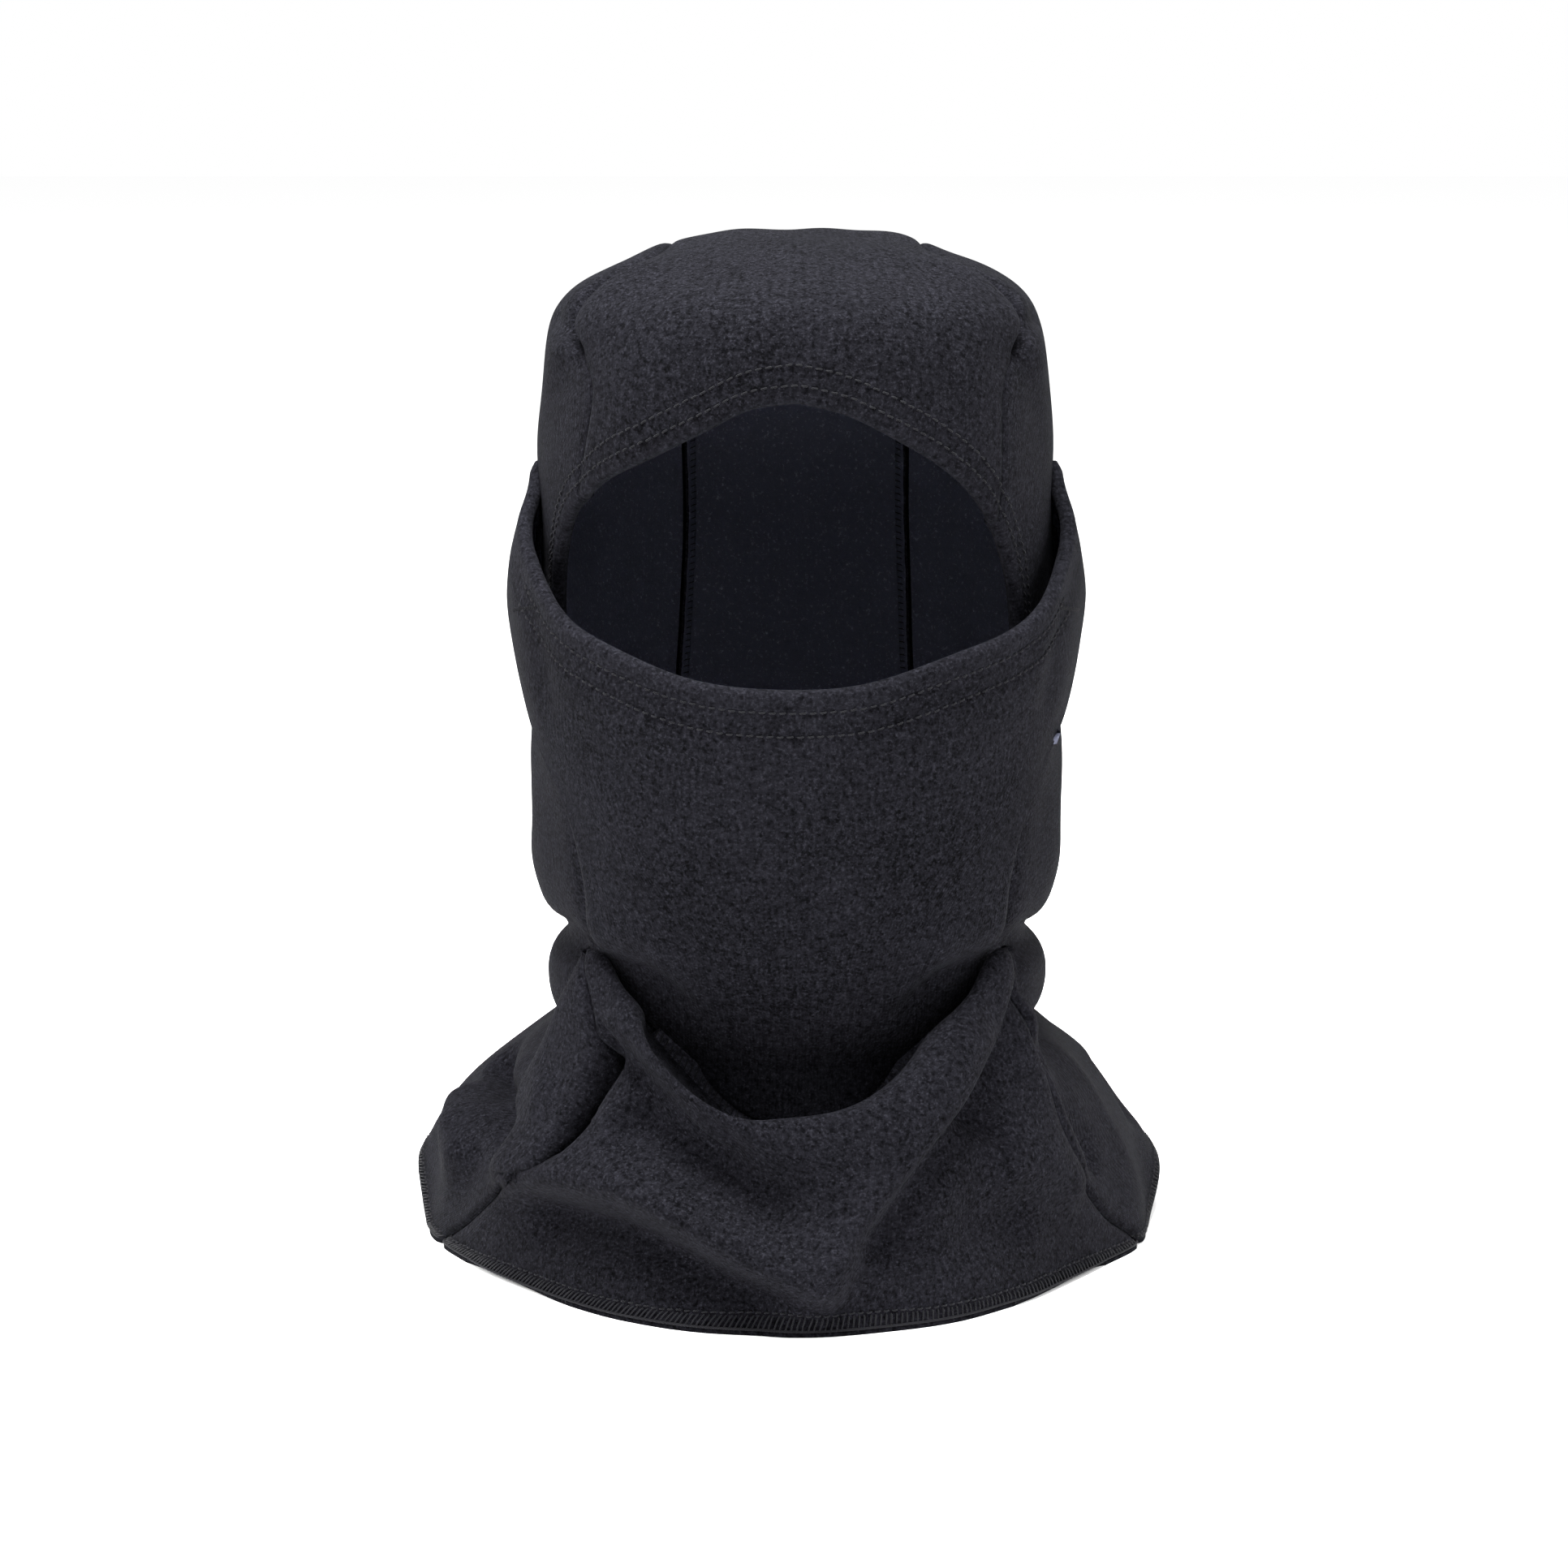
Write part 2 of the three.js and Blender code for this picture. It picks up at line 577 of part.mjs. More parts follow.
// Overlocked edges of the neck seam, round the back of the neck, and of the chin seam under the mask
const neckSeam = { height: 90, fromDegrees: 64 };
const chinSeam = { reachDegrees: 42, aboveFoot: 3, lean: -0.4 };
function addNeckSeams() {
  const neck = [];
  for (let k = 0; k <= 40; k += 1) {
    const angle = radians(mix(neckSeam.fromDegrees, 360 - neckSeam.fromDegrees, k / 40));
    const radius = hoodRadius(angle, neckSeam.height);
    const x = radius * Math.sin(angle);
    neck.push(new THREE.Vector3(x, neckAxisY - radius * Math.cos(angle), neckSeam.height));
  }
  addBead('neck_seam', neck, neck.map(hoodNormal), seamRadius, allowanceDrop, charcoal(0.03));
  const chin = [];
  const outward = [];
  for (let k = 0; k <= 24; k += 1) {
    const angle = radians(mix(-chinSeam.reachDegrees, chinSeam.reachDegrees, k / 24));
    chin.push(onMask(angle, maskFoot(angle) + chinSeam.aboveFoot));
    outward.push(new THREE.Vector3(Math.sin(angle), -Math.cos(angle), chinSeam.lean).normalize());
  }
  addBead('chin_seam', chin, outward, seamRadius, allowanceDrop - 1, charcoal(0.03));
}

// Half the gap at the bib's side seams, as a part of a column, outside and behind the ridge
const sideSeamGap = { outside: 0.05, behind: 0.2 };
function addBib() {
  const gap = (along) => (along < 0.6 ? sideSeamGap.outside : sideSeamGap.behind);
  const front = (across, along) => mix(-1, 1, across) * (bibSeamColumn(along) - gap(along));
  const back = (across, along) => {
    const start = bibSeamColumn(along) + gap(along);
    return mix(start, bibRound - start, across);
  };
  const frontSurface = (across, along) => bibPoint(front(across, along), along);
  const backSurface = (across, along) => bibPoint(back(across, along), along);
  addBibPanel('bib_front', frontSurface, 32, 14, 0.04);
  addBibPanel('bib_back', backSurface, 36, 12, 0.05);
  addHemBand('bib_hem_overlock_front', frontSurface, 32);
  addHemBand('bib_hem_overlock_back', backSurface, 32);
  addBibSeam('left');
  addBibSeam('right');
  addNeckSeams();
}
addBib();

export default group;
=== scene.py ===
import math

import bpy
import numpy as np
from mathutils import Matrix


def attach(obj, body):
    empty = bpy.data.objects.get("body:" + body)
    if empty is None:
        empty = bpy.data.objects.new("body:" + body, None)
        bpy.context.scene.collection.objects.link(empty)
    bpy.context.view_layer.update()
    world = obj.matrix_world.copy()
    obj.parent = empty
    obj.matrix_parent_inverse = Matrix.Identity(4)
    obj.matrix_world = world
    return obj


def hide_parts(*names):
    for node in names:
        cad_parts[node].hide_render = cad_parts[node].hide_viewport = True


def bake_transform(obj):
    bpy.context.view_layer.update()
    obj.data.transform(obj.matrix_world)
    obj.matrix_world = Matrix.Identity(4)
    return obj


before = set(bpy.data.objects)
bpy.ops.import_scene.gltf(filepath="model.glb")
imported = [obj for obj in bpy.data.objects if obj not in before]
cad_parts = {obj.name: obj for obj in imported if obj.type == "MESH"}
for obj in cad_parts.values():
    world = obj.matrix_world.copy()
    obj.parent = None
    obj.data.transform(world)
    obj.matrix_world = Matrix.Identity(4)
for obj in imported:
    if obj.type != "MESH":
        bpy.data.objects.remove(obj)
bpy.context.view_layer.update()        # bodies, nodes, joints, record

# Lengths are millimetres in the making and metres once a mesh is built.
metre = 0.001

# Cloth and how finely it is laid out
cloth = {
    "thickness": 2.1,
    "pitch": 1.7,   # grid step of a panel
    "hemRoll": 2.7,        # radius of a hem's folded edge
    "seamTuck": 1.7,       # how deep an edge sinks into its seam
    "seamPuff": 1.1,       # how far the cloth swells beside a seam
    "waviness": 0.55,      # soft unevenness of a worn cloth
}

neckAxis = 5.0
shoulderLine = 250.0
crownTop = 355.0

# Hood: height, half width, depth in front, depth behind, squareness
hoodOutline = [
    [78, 81, 74, 83, 2.3], [88, 85.5, 77, 87, 2.3], [99, 87, 79, 90, 2.3], [107, 86, 79, 90, 2.3],
    [113, 84.5, 78, 89, 2.3], [121, 89, 80, 92, 2.3], [136, 93.5, 86, 98, 2.3], [152, 94, 90, 102, 2.3],
    [170, 93.5, 93, 106, 2.3], [185, 92, 95, 108, 2.35], [205, 89.5, 97, 110, 2.4],
    [240, 88.5, 100, 111, 2.45], [268, 88.7, 103, 110, 2.45], [286, 89, 104, 108, 2.45],
    [307, 87, 104, 106, 2.45], [326, 84.5, 102, 103, 2.45], [345, 82.5, 98, 99, 2.45],
    [360, 81, 95, 96, 2.45],
]
# Mask: height, half width, depth in front, squareness
maskOutline = [
    [80, 66, 88, 2.2], [100, 79, 97, 2.35], [120, 88, 105, 2.6], [148, 92, 113, 2.6],
    [185, 94, 118, 2.45], [215, 99, 119, 2.4], [240, 101, 118, 2.4], [262, 97, 114, 2.4],
    [280, 93.2, 110, 2.4],
]
# Mask's side edge: height, degrees from the front; its foot: degrees, height
maskSideEdge = [[118, 50], [132, 47], [148, 45.5], [160, 46], [176, 50], [192, 62], [207, 77],
                [222, 86], [240, 89], [262, 84], [280, 78]]
maskFootEdge = [[0, 62], [10, 64.5], [20, 75], [30, 89], [38, 101.5], [45, 111.5], [56, 115]]
maskHem = {"low": 215.0, "high": 279.0, "rise": 2.2}

# Face opening in front view, from the middle of the brow down to the neck: x, height
openingLeft = [[0, 306.5], [16, 302.5], [32, 294.5], [48, 284.5], [62, 270], [70, 252], [74, 234],
               [76.5, 205], [72, 183], [64, 160], [60, 140], [63, 118], [72.5, 98], [73, 79]]
openingRight = [[0, 306.5], [-16, 304], [-32, 296], [-50, 286.5], [-67, 276], [-78, 260], [-83, 234],
                [-83.5, 205], [-76, 183], [-64, 160], [-60, 140], [-63, 118], [-72.5, 98], [-73, 79]]
browShare = 0.335        # where along the opening the crown seam meets it

crownSeamLine = [
    [62, -71, 289], [66, -68, 304], [71, -61, 318], [75.5, -52, 328], [69, -44, 336], [59, -34, 342],
    [48, -12, 347], [44, 15, 348], [42, 48, 344], [42, 82, 328], [43, 104, 296], [44, 112, 250],
    [45, 108, 200], [46, 96, 150], [47, 82, 110], [48, 72, 79],
]
crownMiddleLine = [
    [0, -99, 307], [0, -98, 318], [0, -95, 328], [0, -88, 338], [0, -70, 347], [0, -48, 352],
    [0, -20, 354], [0, 15, 354], [0, 48, 350], [0, 85, 334], [0, 108, 300], [0, 115, 250],
    [0, 112, 200], [0, 100, 150], [0, 92, 110], [0, 88, 79],
]

# Bib columns, from the middle of the front to the middle of the back on the wearer's left:
# hem, ridge of the cowl, valley behind it, upper seam
bibColumns = [
    [[0, -124, 0], [0, -117, 73], [0, -102, 44], [0, -82.6, 59.5]],
    [[30, -120, 0], [24, -114, 77], [22, -99, 50], [18, -80, 63]],
    [[56, -107, 0], [44, -103, 91], [38, -88, 66], [34, -73.5, 74]],
    [[75, -90, 0], [57, -87, 107], [53, -79, 88], [48, -71, 88]],
    [[89, -75, 0], [65, -76, 118], [61, -71.5, 105], [58, -66, 98]],
    [[99, -62, 0], [71, -66, 117], [67, -63, 110], [64.5, -61.5, 104]],
    [[107, -50, 0], [73, -58, 103], [70, -56, 101], [67.5, -54.5, 103]],
    [[114, -38, 0], [74, -50, 84], [71, -47.5, 85], [68, -46, 92]],
    [[120, -25, 0], [76.5, -38, 76], [70, -34, 75], [69, -31, 86]],
    [[125, -10, 0], [80, -20, 76], [75, -19, 76], [74.5, -18.5, 86]],
    [[130.5, 10, 6], [81, 5, 76], [77, 5, 76.5], [76, 5, 86]],
    [[133, 32, 13], [79, 29, 76], [75, 28, 76.5], [74, 27.5, 86]],
    [[132, 54, 16], [72, 50, 76], [69, 48, 76.5], [68, 47, 86]],
    [[125, 76, 13], [61, 66, 76], [58, 63, 76.5], [57.5, 62, 86]],
    [[109, 98, 6], [46, 77.5, 76], [44, 74, 76.5], [43.5, 73, 86]],
    [[84, 113, 0], [31, 84, 76], [30, 80, 76.5], [29.5, 79, 86]],
    [[44, 122, 0], [15, 87.4, 76], [14, 83.4, 76.5], [14, 82.4, 86]],
    [[0, 124, 0], [0, 88, 76], [0, 84, 76.5], [0, 83, 86]],
]
bibShape = {"outside": 0.68, "rightSpread": 1.03, "leftSpread": 0.985}


def smooth(t):
    t = np.clip(t, 0, 1)
    return t * t * (3 - 2 * t)


def unit(v):
    return v / np.maximum(np.linalg.norm(v, axis=-1, keepdims=True), 1e-9)


# Smooth curve through an outline's rows, read at any heights
def outlineAt(rows, height, column):
    rows = np.asarray(rows, float)
    at, value = rows[:, 0], rows[:, column]
    slope = np.empty(len(at))
    slope[1:-1] = (value[2:] - value[:-2]) / (at[2:] - at[:-2])
    slope[0] = (value[1] - value[0]) / (at[1] - at[0])
    slope[-1] = (value[-1] - value[-2]) / (at[-1] - at[-2])
    h = np.clip(height, at[0], at[-1])
    i = np.clip(np.searchsorted(at, h, side="right") - 1, 0, len(at) - 2)
    span = at[i + 1] - at[i]
    t = (h - at[i]) / span
    return ((2 * t**3 - 3 * t**2 + 1) * value[i] + (t**3 - 2 * t**2 + t) * span * slope[i]
            + (3 * t**2 - 2 * t**3) * value[i + 1] + (t**3 - t**2) * span * slope[i + 1])


# Smooth curve through points, from 0 at the first to 1 at the last
def curveAt(points, t):
    p = np.asarray(points, float)
    p = np.vstack([2 * p[0] - p[1], p, 2 * p[-1] - p[-2]])
    x = np.clip(np.asarray(t, float), 0, 1) * (len(p) - 3)
    i = np.minimum(x.astype(int), len(p) - 4)
    f = (x - i)[..., None]
    a, b, c, d = p[i], p[i + 1], p[i + 2], p[i + 3]
    return 0.5 * (2 * b + (c - a) * f + (2 * a - 5 * b + 4 * c - d) * f**2
                  + (3 * b - a - 3 * c + d) * f**3)


def wallReach(p):
    along = p[..., 1] - neckAxis
    halfWidth = outlineAt(hoodOutline, p[..., 2], 1)
    front, back = outlineAt(hoodOutline, p[..., 2], 2), outlineAt(hoodOutline, p[..., 2], 3)
    square = outlineAt(hoodOutline, p[..., 2], 4)
    depth = np.where(along < 0, front, back)
    return ((np.abs(p[..., 0]) / halfWidth)**square + (np.abs(along) / depth)**square)**(1 / square)


# 1 on the hood, less inside it: upright walls under a domed crown with a rounded rim
def hoodReach(p):
    wall = wallReach(p)
    along = p[..., 1] - neckAxis
    fall = np.where(along < 0, 0.0017, 0.0030)
    roofTop = crownTop - 0.0032 * p[..., 0]**2 - fall * along**2
    roof = np.clip((p[..., 2] - shoulderLine) / np.maximum(1, roofTop - shoulderLine), 0, 9)
    crisp = 16 + (5 - 16) * smooth(along / 60)
    return np.where(p[..., 2] <= shoulderLine, wall, (wall**crisp + roof**crisp)**(1 / crisp))


def bisect(start, ray, far):
    near, far = np.zeros(start.shape[:-1]), np.full(start.shape[:-1], float(far))
    for _ in range(34):
        half = (near + far) / 2
        inside = hoodReach(start + ray * half[..., None]) < 1
        near, far = np.where(inside, half, near), np.where(inside, far, half)
    return start + ray * near[..., None]


# Moves points straight out from inside the hood until they lie on it
def onHood(p):
    centre = np.stack([0 * p[..., 0], 0 * p[..., 0] + neckAxis, np.minimum(p[..., 2], shoulderLine)], -1)
    return bisect(centre, unit(p - centre), 260)


def hoodFront(x, height):
    x, height = np.asarray(x, float), np.asarray(height, float)
    start = np.stack([x, 0 * x + neckAxis, height], -1)
    return bisect(start, np.broadcast_to([0.0, -1.0, 0.0], start.shape), 180)


def hoodNormal(p):
    steps = np.eye(3) * 0.5
    return unit(np.stack([hoodReach(p + s) - hoodReach(p - s) for s in steps], -1))


def hoodRadius(angle, height):
    ray = np.stack([np.sin(angle), neckAxis - np.cos(angle), height + 0 * angle], -1)
    return 1 / wallReach(ray)


def aroundNeck(radius, angle, height):
    return np.stack([radius * np.sin(angle), neckAxis - radius * np.cos(angle), height + 0 * radius], -1)


# Mask: free in front of the face, close over the hood where it is sewn
def onMask(angle, height, lying=0.0):
    sine, cosine = np.abs(np.sin(angle)), np.abs(np.cos(angle))
    square = outlineAt(maskOutline, height, 3)
    free = ((sine / outlineAt(maskOutline, height, 1))**square
            + (cosine / outlineAt(maskOutline, height, 2))**square)**(-1 / square)
    sewn = hoodRadius(angle, height) + 3.0
    spare = free - sewn
    stand = (spare + np.hypot(spare, 3)) / 2 - 0.6
    return aroundNeck(sewn + stand * (1 - lying), angle, height)


openings = {side: hoodFront(*np.array(outline, float).T)
            for side, outline in (("left", openingLeft), ("right", openingRight))}
signs = {"left": 1, "right": -1}


# Line beside the face opening: inset is the distance into the cloth
def besideOpening(side, share, inset):
    share = np.asarray(share, float)
    p = curveAt(openings[side], share)
    along = curveAt(openings[side], share + 0.002) - curveAt(openings[side], share - 0.002)
    away = unit(np.cross(hoodNormal(p), along * signs[side]))
    return onHood(p + away * inset)


def crownSeamPoints(side):
    p = onHood(np.array(crownSeamLine, float) * [signs[side], 1, 1])
    p[0] = besideOpening(side, browShare, cloth["hemRoll"])
    return p


crownSeams = {side: crownSeamPoints(side) for side in signs}


# Normals of a grid of points, turned to agree with a rough outward direction
def gridNormals(p, outward):
    along, across = np.gradient(p, axis=0), np.gradient(p, axis=1)
    n = unit(np.cross(across, along))
    return n * np.sign(np.sum(n * outward, -1, keepdims=True) + 1e-9)


def lengthsFrom(p, axis, fromEnd=False):
    q = np.flip(p, axis) if fromEnd else p
    step = np.linalg.norm(np.diff(q, axis=axis), axis=-1)
    total = np.concatenate([np.zeros_like(np.take(step, [0], axis)), np.cumsum(step, axis)], axis)
    return np.flip(total, axis) if fromEnd else total


# Sinks an edge into its seam and swells the cloth beside it
def tuckEdge(p, n, axis, fromEnd=False, deep=None, puff=None):
    d = lengthsFrom(p, axis, fromEnd)[..., None]
    deep = cloth["seamTuck"] if deep is None else deep
    puff = cloth["seamPuff"] if puff is None else puff
    return p + n * (puff * (d / 9) * np.exp(1 - d / 9) - deep * np.exp(-(d / 2.2)**2))


# Soft unevenness: a few slow waves in fixed directions
def undulate(p, n, size, seed):
    rng = np.random.default_rng(seed)
    height = np.zeros(p.shape[:-1])
    for _ in range(9):
        wave = 2 * math.pi / rng.uniform(24, 70) * unit(rng.normal(size=3))
        height += np.sin(p @ wave + rng.uniform(0, 7)) / 3
    return p + n * height[..., None] * size


# Row or column of a panel at a distance from its first row
def insetLine(p, n, inset):
    d = lengthsFrom(p, 0)
    i = np.clip((d < inset).sum(0), 1, len(p) - 1)
    k = np.arange(p.shape[1])
    f = ((inset - d[i - 1, k]) / np.maximum(d[i, k] - d[i - 1, k], 1e-6))[:, None]
    return p[i - 1, k] * (1 - f) + p[i, k] * f, unit(n[i - 1, k] * (1 - f) + n[i, k] * f)


# Folds the first row over inwards in a half round, and a little way back inside
def rollEdge(p, n, radius, turn=math.pi, back=3.0, steps=9):
    out = p[0] - p[1]
    for axis in (n[0], unit(np.gradient(p[0], axis=0))):
        out = unit(out - axis * np.sum(out * axis, -1, keepdims=True))
    rows, normals = [], []
    for angle in np.linspace(turn, 0, steps + 1)[:-1]:
        facing = n[0] * math.cos(angle) + out * math.sin(angle)
        rows.append(p[0] - n[0] * radius + facing * radius)
        normals.append(facing)
    if back:
        inward = out * math.cos(turn) - n[0] * math.sin(turn)
        rows.insert(0, rows[0] + inward * back)
        normals.insert(0, normals[0])
    return np.concatenate([np.array(rows), p]), np.concatenate([np.array(normals), n])


def flipRows(p, n):
    return p[::-1], n[::-1]


def turned(p, n):
    return np.swapaxes(p, 0, 1), np.swapaxes(n, 0, 1)


pieces = {}


# Builds a mesh in metres; loops of a face take their UVs from its points
def buildMesh(name, points, faces, material, uv=None, wearAndHighlight=None, inner=None):
    mesh = bpy.data.meshes.new(name)
    mesh.from_pydata((np.asarray(points) * metre).tolist(), [],
                     faces if isinstance(faces, list) else faces.tolist())
    mesh.polygons.foreach_set("use_smooth", np.ones(len(mesh.polygons), bool))
    if uv is not None:
        corner = np.empty(len(mesh.loops), np.int32)
        mesh.loops.foreach_get("vertex_index", corner)
        layer = mesh.uv_layers.new(name="cloth")
        layer.data.foreach_set("uv", (np.asarray(uv) * metre)[corner].astype(np.float32).ravel())
    # Point attribute for paler cloth: wear plus painted highlight and painted sheen
    if wearAndHighlight is not None:
        mesh.attributes.new("wearAndHighlight", "FLOAT", "POINT").data.foreach_set("value", wearAndHighlight.astype(np.float32))
    mesh.update()
    piece = bpy.data.objects.new(name, mesh)
    bpy.context.scene.collection.objects.link(piece)
    mesh.materials.append(material)
    # Inner faces take the pale inside finish: painted light for the shaded inside of the hood
    if inner is not None:
        mesh.materials.append(finishes["inside"])
        mesh.polygons.foreach_set("material_index", inner.astype(np.int32))
    pieces[name] = piece
    return piece


def gridFaces(rows, columns, offset=0):
    a = (np.arange(rows - 1)[:, None] * columns + np.arange(columns - 1)[None]).ravel() + offset
    return np.stack([a, a + 1, a + columns + 1, a + columns], -1)


# A closed layer of cloth from its outer grid
def clothPiece(name, p, n, material, thickness=None, wearAndHighlight=None, lined=True):
    thickness = cloth["thickness"] if thickness is None else thickness
    rows, columns = p.shape[:2]
    count = rows * columns
    points = np.concatenate([p.reshape(-1, 3), (p - n * thickness).reshape(-1, 3)])
    outer = gridFaces(rows, columns)
    inner = gridFaces(rows, columns, count)[:, ::-1]
    index = np.arange(count).reshape(rows, columns)
    rim = []
    for line, turn in ((index[0], 1), (index[-1], -1), (index[:, 0], -1), (index[:, -1], 1)):
        a, b = line[:-1], line[1:]
        quad = np.stack([a, a + count, b + count, b], -1)
        rim.append(quad[:, ::turn])
    faces = np.concatenate([outer, inner] + rim)
    sample = p[1:, 1:] - p[:-1, :-1]
    facing = np.cross(p[:-1, 1:] - p[:-1, :-1], sample)
    if np.sum(facing * n[:-1, :-1]) < 0:
        faces = faces[:, ::-1]
    inside = np.arange(len(faces))
    inside = (inside >= len(outer)) & (inside < 2 * len(outer)) if lined else None
    u = lengthsFrom(p, 1)[rows // 2][None].repeat(rows, 0)
    v = lengthsFrom(p, 0)[:, columns // 2][:, None].repeat(columns, 1)
    uv = np.tile(np.stack([u, v], -1).reshape(-1, 2), (2, 1))
    # Paleness for wear and painted highlight on the outer face, none on the inner face
    wearAndHighlight = np.zeros(count) if wearAndHighlight is None else wearAndHighlight.ravel()
    return buildMesh(name, points, faces, material, uv, np.concatenate([wearAndHighlight, wearAndHighlight * 0]), inside)


# How far a fold or crease moves each point of a panel. The path has a few points on the cloth;
# gentle and steep are the widths of its two sides, gentle to the left of the path seen from outside.
def foldAlong(p, n, path, height, gentle=12.0, steep=4.0, side=1, droop=0.0, full=1.8,
              taper=(14.0, 14.0)):
    flat, normals = p.reshape(-1, 3), n.reshape(-1, 3)
    path = np.array(path, float)
    count = int(np.linalg.norm(np.diff(path, axis=0), axis=1).sum() / 1.2) + 4
    line = curveAt(path, np.linspace(0, 1, count))
    moved = np.zeros_like(flat)
    near = np.where(np.min(((flat[:, None] - path[None])**2).sum(-1), axis=1) < 70**2)[0]
    if not len(near):
        return moved.reshape(p.shape)
    points, up = flat[near], normals[near]
    gap = (points**2).sum(1)[:, None] - 2 * points @ line.T + (line**2).sum(1)[None]
    best = gap.argmin(1)
    run = unit(np.gradient(line, axis=0))[best]
    off = points - line[best]
    off = off - up * np.sum(off * up, -1, keepdims=True)
    across = unit(np.cross(up, run)) * side
    reach = np.sum(off * across, -1)
    walked = lengthsFrom(line, 0)
    ends = smooth(walked[best] / taper[0]) * smooth((walked[-1] - walked[best]) / taper[1])
    ends = ends * np.exp(-(np.sum(off * run, -1) / 6)**2)
    width = np.where(reach > 0, gentle, steep)
    swell = ends * np.exp(-np.abs(reach / width)**full)
    moved[near] = up * (swell * height)[:, None] - np.array([0, 0, 1]) * (swell * droop)[:, None]
    return moved.reshape(p.shape)


# Evens out a panel, leaving its edges where they are
def relax(p, rounds, amount=1.0):
    for _ in range(rounds):
        q = p.copy()
        q[1:-1, 1:-1] = (p[:-2, 1:-1] + p[2:, 1:-1] + p[1:-1, :-2] + p[1:-1, 2:]) / 4
        p = p + (q - p) * amount
    return p


def foldAll(p, n, folds, rounds=4):
    moved = sum(foldAlong(p, n, **fold) for fold in folds)
    p = relax(p + moved, rounds)
    return p, gridNormals(p, n)


# A socket that takes arithmetic
class Value:
    def __init__(self, paint, socket):
        self.paint, self.socket = paint, socket

    def maths(self, operation, first, second=None):
        values = {0: first} if second is None else {0: first, 1: second}
        return self.paint.node("ShaderNodeMath", {"operation": operation}, values)

    def __add__(self, other):
        return self.maths("ADD", self, other)

    def __sub__(self, other):
        return self.maths("SUBTRACT", self, other)

    def __rsub__(self, other):
        return self.maths("SUBTRACT", other, self)

    def __mul__(self, other):
        return self.maths("MULTIPLY", self, other)

    __radd__ = __add__
    __rmul__ = __mul__


# A material being made: node() adds any node and gives back one of its outputs
class Finish:
    def __init__(self, name):
        self.material = bpy.data.materials.new(name)
        self.material.use_nodes = True
        self.tree = self.material.node_tree
        self.shader = self.tree.nodes["Principled BSDF"]

    def node(self, kind, settings=None, values=None, output=0):
        made = self.tree.nodes.new(kind)
        for key, setting in (settings or {}).items():
            if key == "stops":
                ramp = made.color_ramp
                for i, (place, shade) in enumerate(setting):
                    stop = ramp.elements[i] if i < 2 else ramp.elements.new(place)
                    stop.position, stop.color = place, (shade, shade, shade, 1)
            else:
                setattr(made, key, setting)
        for key, value in (values or {}).items():
            self.put(made.inputs[key], value)
        return Value(self, made.outputs[output])

    def put(self, socket, value):
        if isinstance(value, Value):
            self.tree.links.new(value.socket, socket)
        else:
            socket.default_value = value

    def mixColour(self, factor, first, second, blend="MIX"):
        return self.node("ShaderNodeMix", {"data_type": "RGBA", "blend_type": blend},
                         {0: factor, 6: first, 7: second}, 2)


def shade(red, green, blue):
    return tuple(((c / 255 + 0.055) / 1.055)**2.4 if c > 10 else c / 255 / 12.92
                 for c in (red, green, blue)) + (1.0,)


# Brushed fleece: fuzz over a fine knit, flecks of light fibre, paler along rolled edges (partly wear, partly
# painted sheen) and on the crown ridge (a painted highlight)
def fleeceFinish(name, look):
    f = Finish(name)
    place = f.node("ShaderNodeTexCoord", output="Object")
    laid = f.node("ShaderNodeUVMap", {"uv_map": "cloth"})
    noise = lambda scale, detail, rough, where=place: f.node(
        "ShaderNodeTexNoise", values={"Vector": where, "Scale": scale, "Detail": detail, "Roughness": rough})
    patches = noise(look["patch"], 3.0, 0.55)
    grain = noise(look["grain"], 3.0, 0.7)
    fuzz = noise(look["fuzz"], 4.0, 0.75)
    wales = f.node("ShaderNodeTexWave", {"bands_direction": "X", "wave_profile": "SIN"},
                   {"Vector": laid, "Scale": look["wales"], "Distortion": 2.2, "Detail": 2.0,
                    "Detail Scale": 3.0}, 1)
    courses = f.node("ShaderNodeTexWave", {"bands_direction": "Y", "wave_profile": "SIN"},
                     {"Vector": laid, "Scale": look["wales"] * 1.3, "Distortion": 3.0, "Detail": 2.0,
                      "Detail Scale": 3.0}, 1)
    flecks = f.node("ShaderNodeValToRGB", {"stops": look["fleckStops"]}, {0: fuzz})
    # Paleness attribute: wear plus painted sheen on rolled edges and a painted highlight on the crown ridge
    wearAndHighlightFac = f.node("ShaderNodeAttribute", {"attribute_name": "wearAndHighlight"}, output="Fac")
    light = (patches * look["patchDepth"] + grain * look["grainDepth"] + fuzz * look["fuzzDepth"]
             + wales * look["knitDepth"] + courses * (look["knitDepth"] * 0.5))
    light = light + flecks * look["fleckDepth"] + wearAndHighlightFac * look["wearAndHighlightDepth"] - look["level"]
    clamped = f.node("ShaderNodeClamp", values={0: light})
    f.put(f.shader.inputs["Base Color"], f.mixColour(clamped, look["dark"], look["pale"]))
    f.put(f.shader.inputs["Roughness"], grain * 0.12 + 0.84)
    relief = fuzz * 0.6 + grain * 0.8 + wales * 0.1 + courses * 0.06
    f.put(f.shader.inputs["Normal"], f.node("ShaderNodeBump", values={
        "Strength": look["bump"], "Distance": 0.0014, "Height": relief}))
    f.shader.inputs["Sheen Weight"].default_value = look["sheen"]
    f.shader.inputs["Sheen Roughness"].default_value = 0.42
    f.shader.inputs["Sheen Tint"].default_value = look["sheenTint"]
    f.shader.inputs["Specular IOR Level"].default_value = 0.02
    return f.material


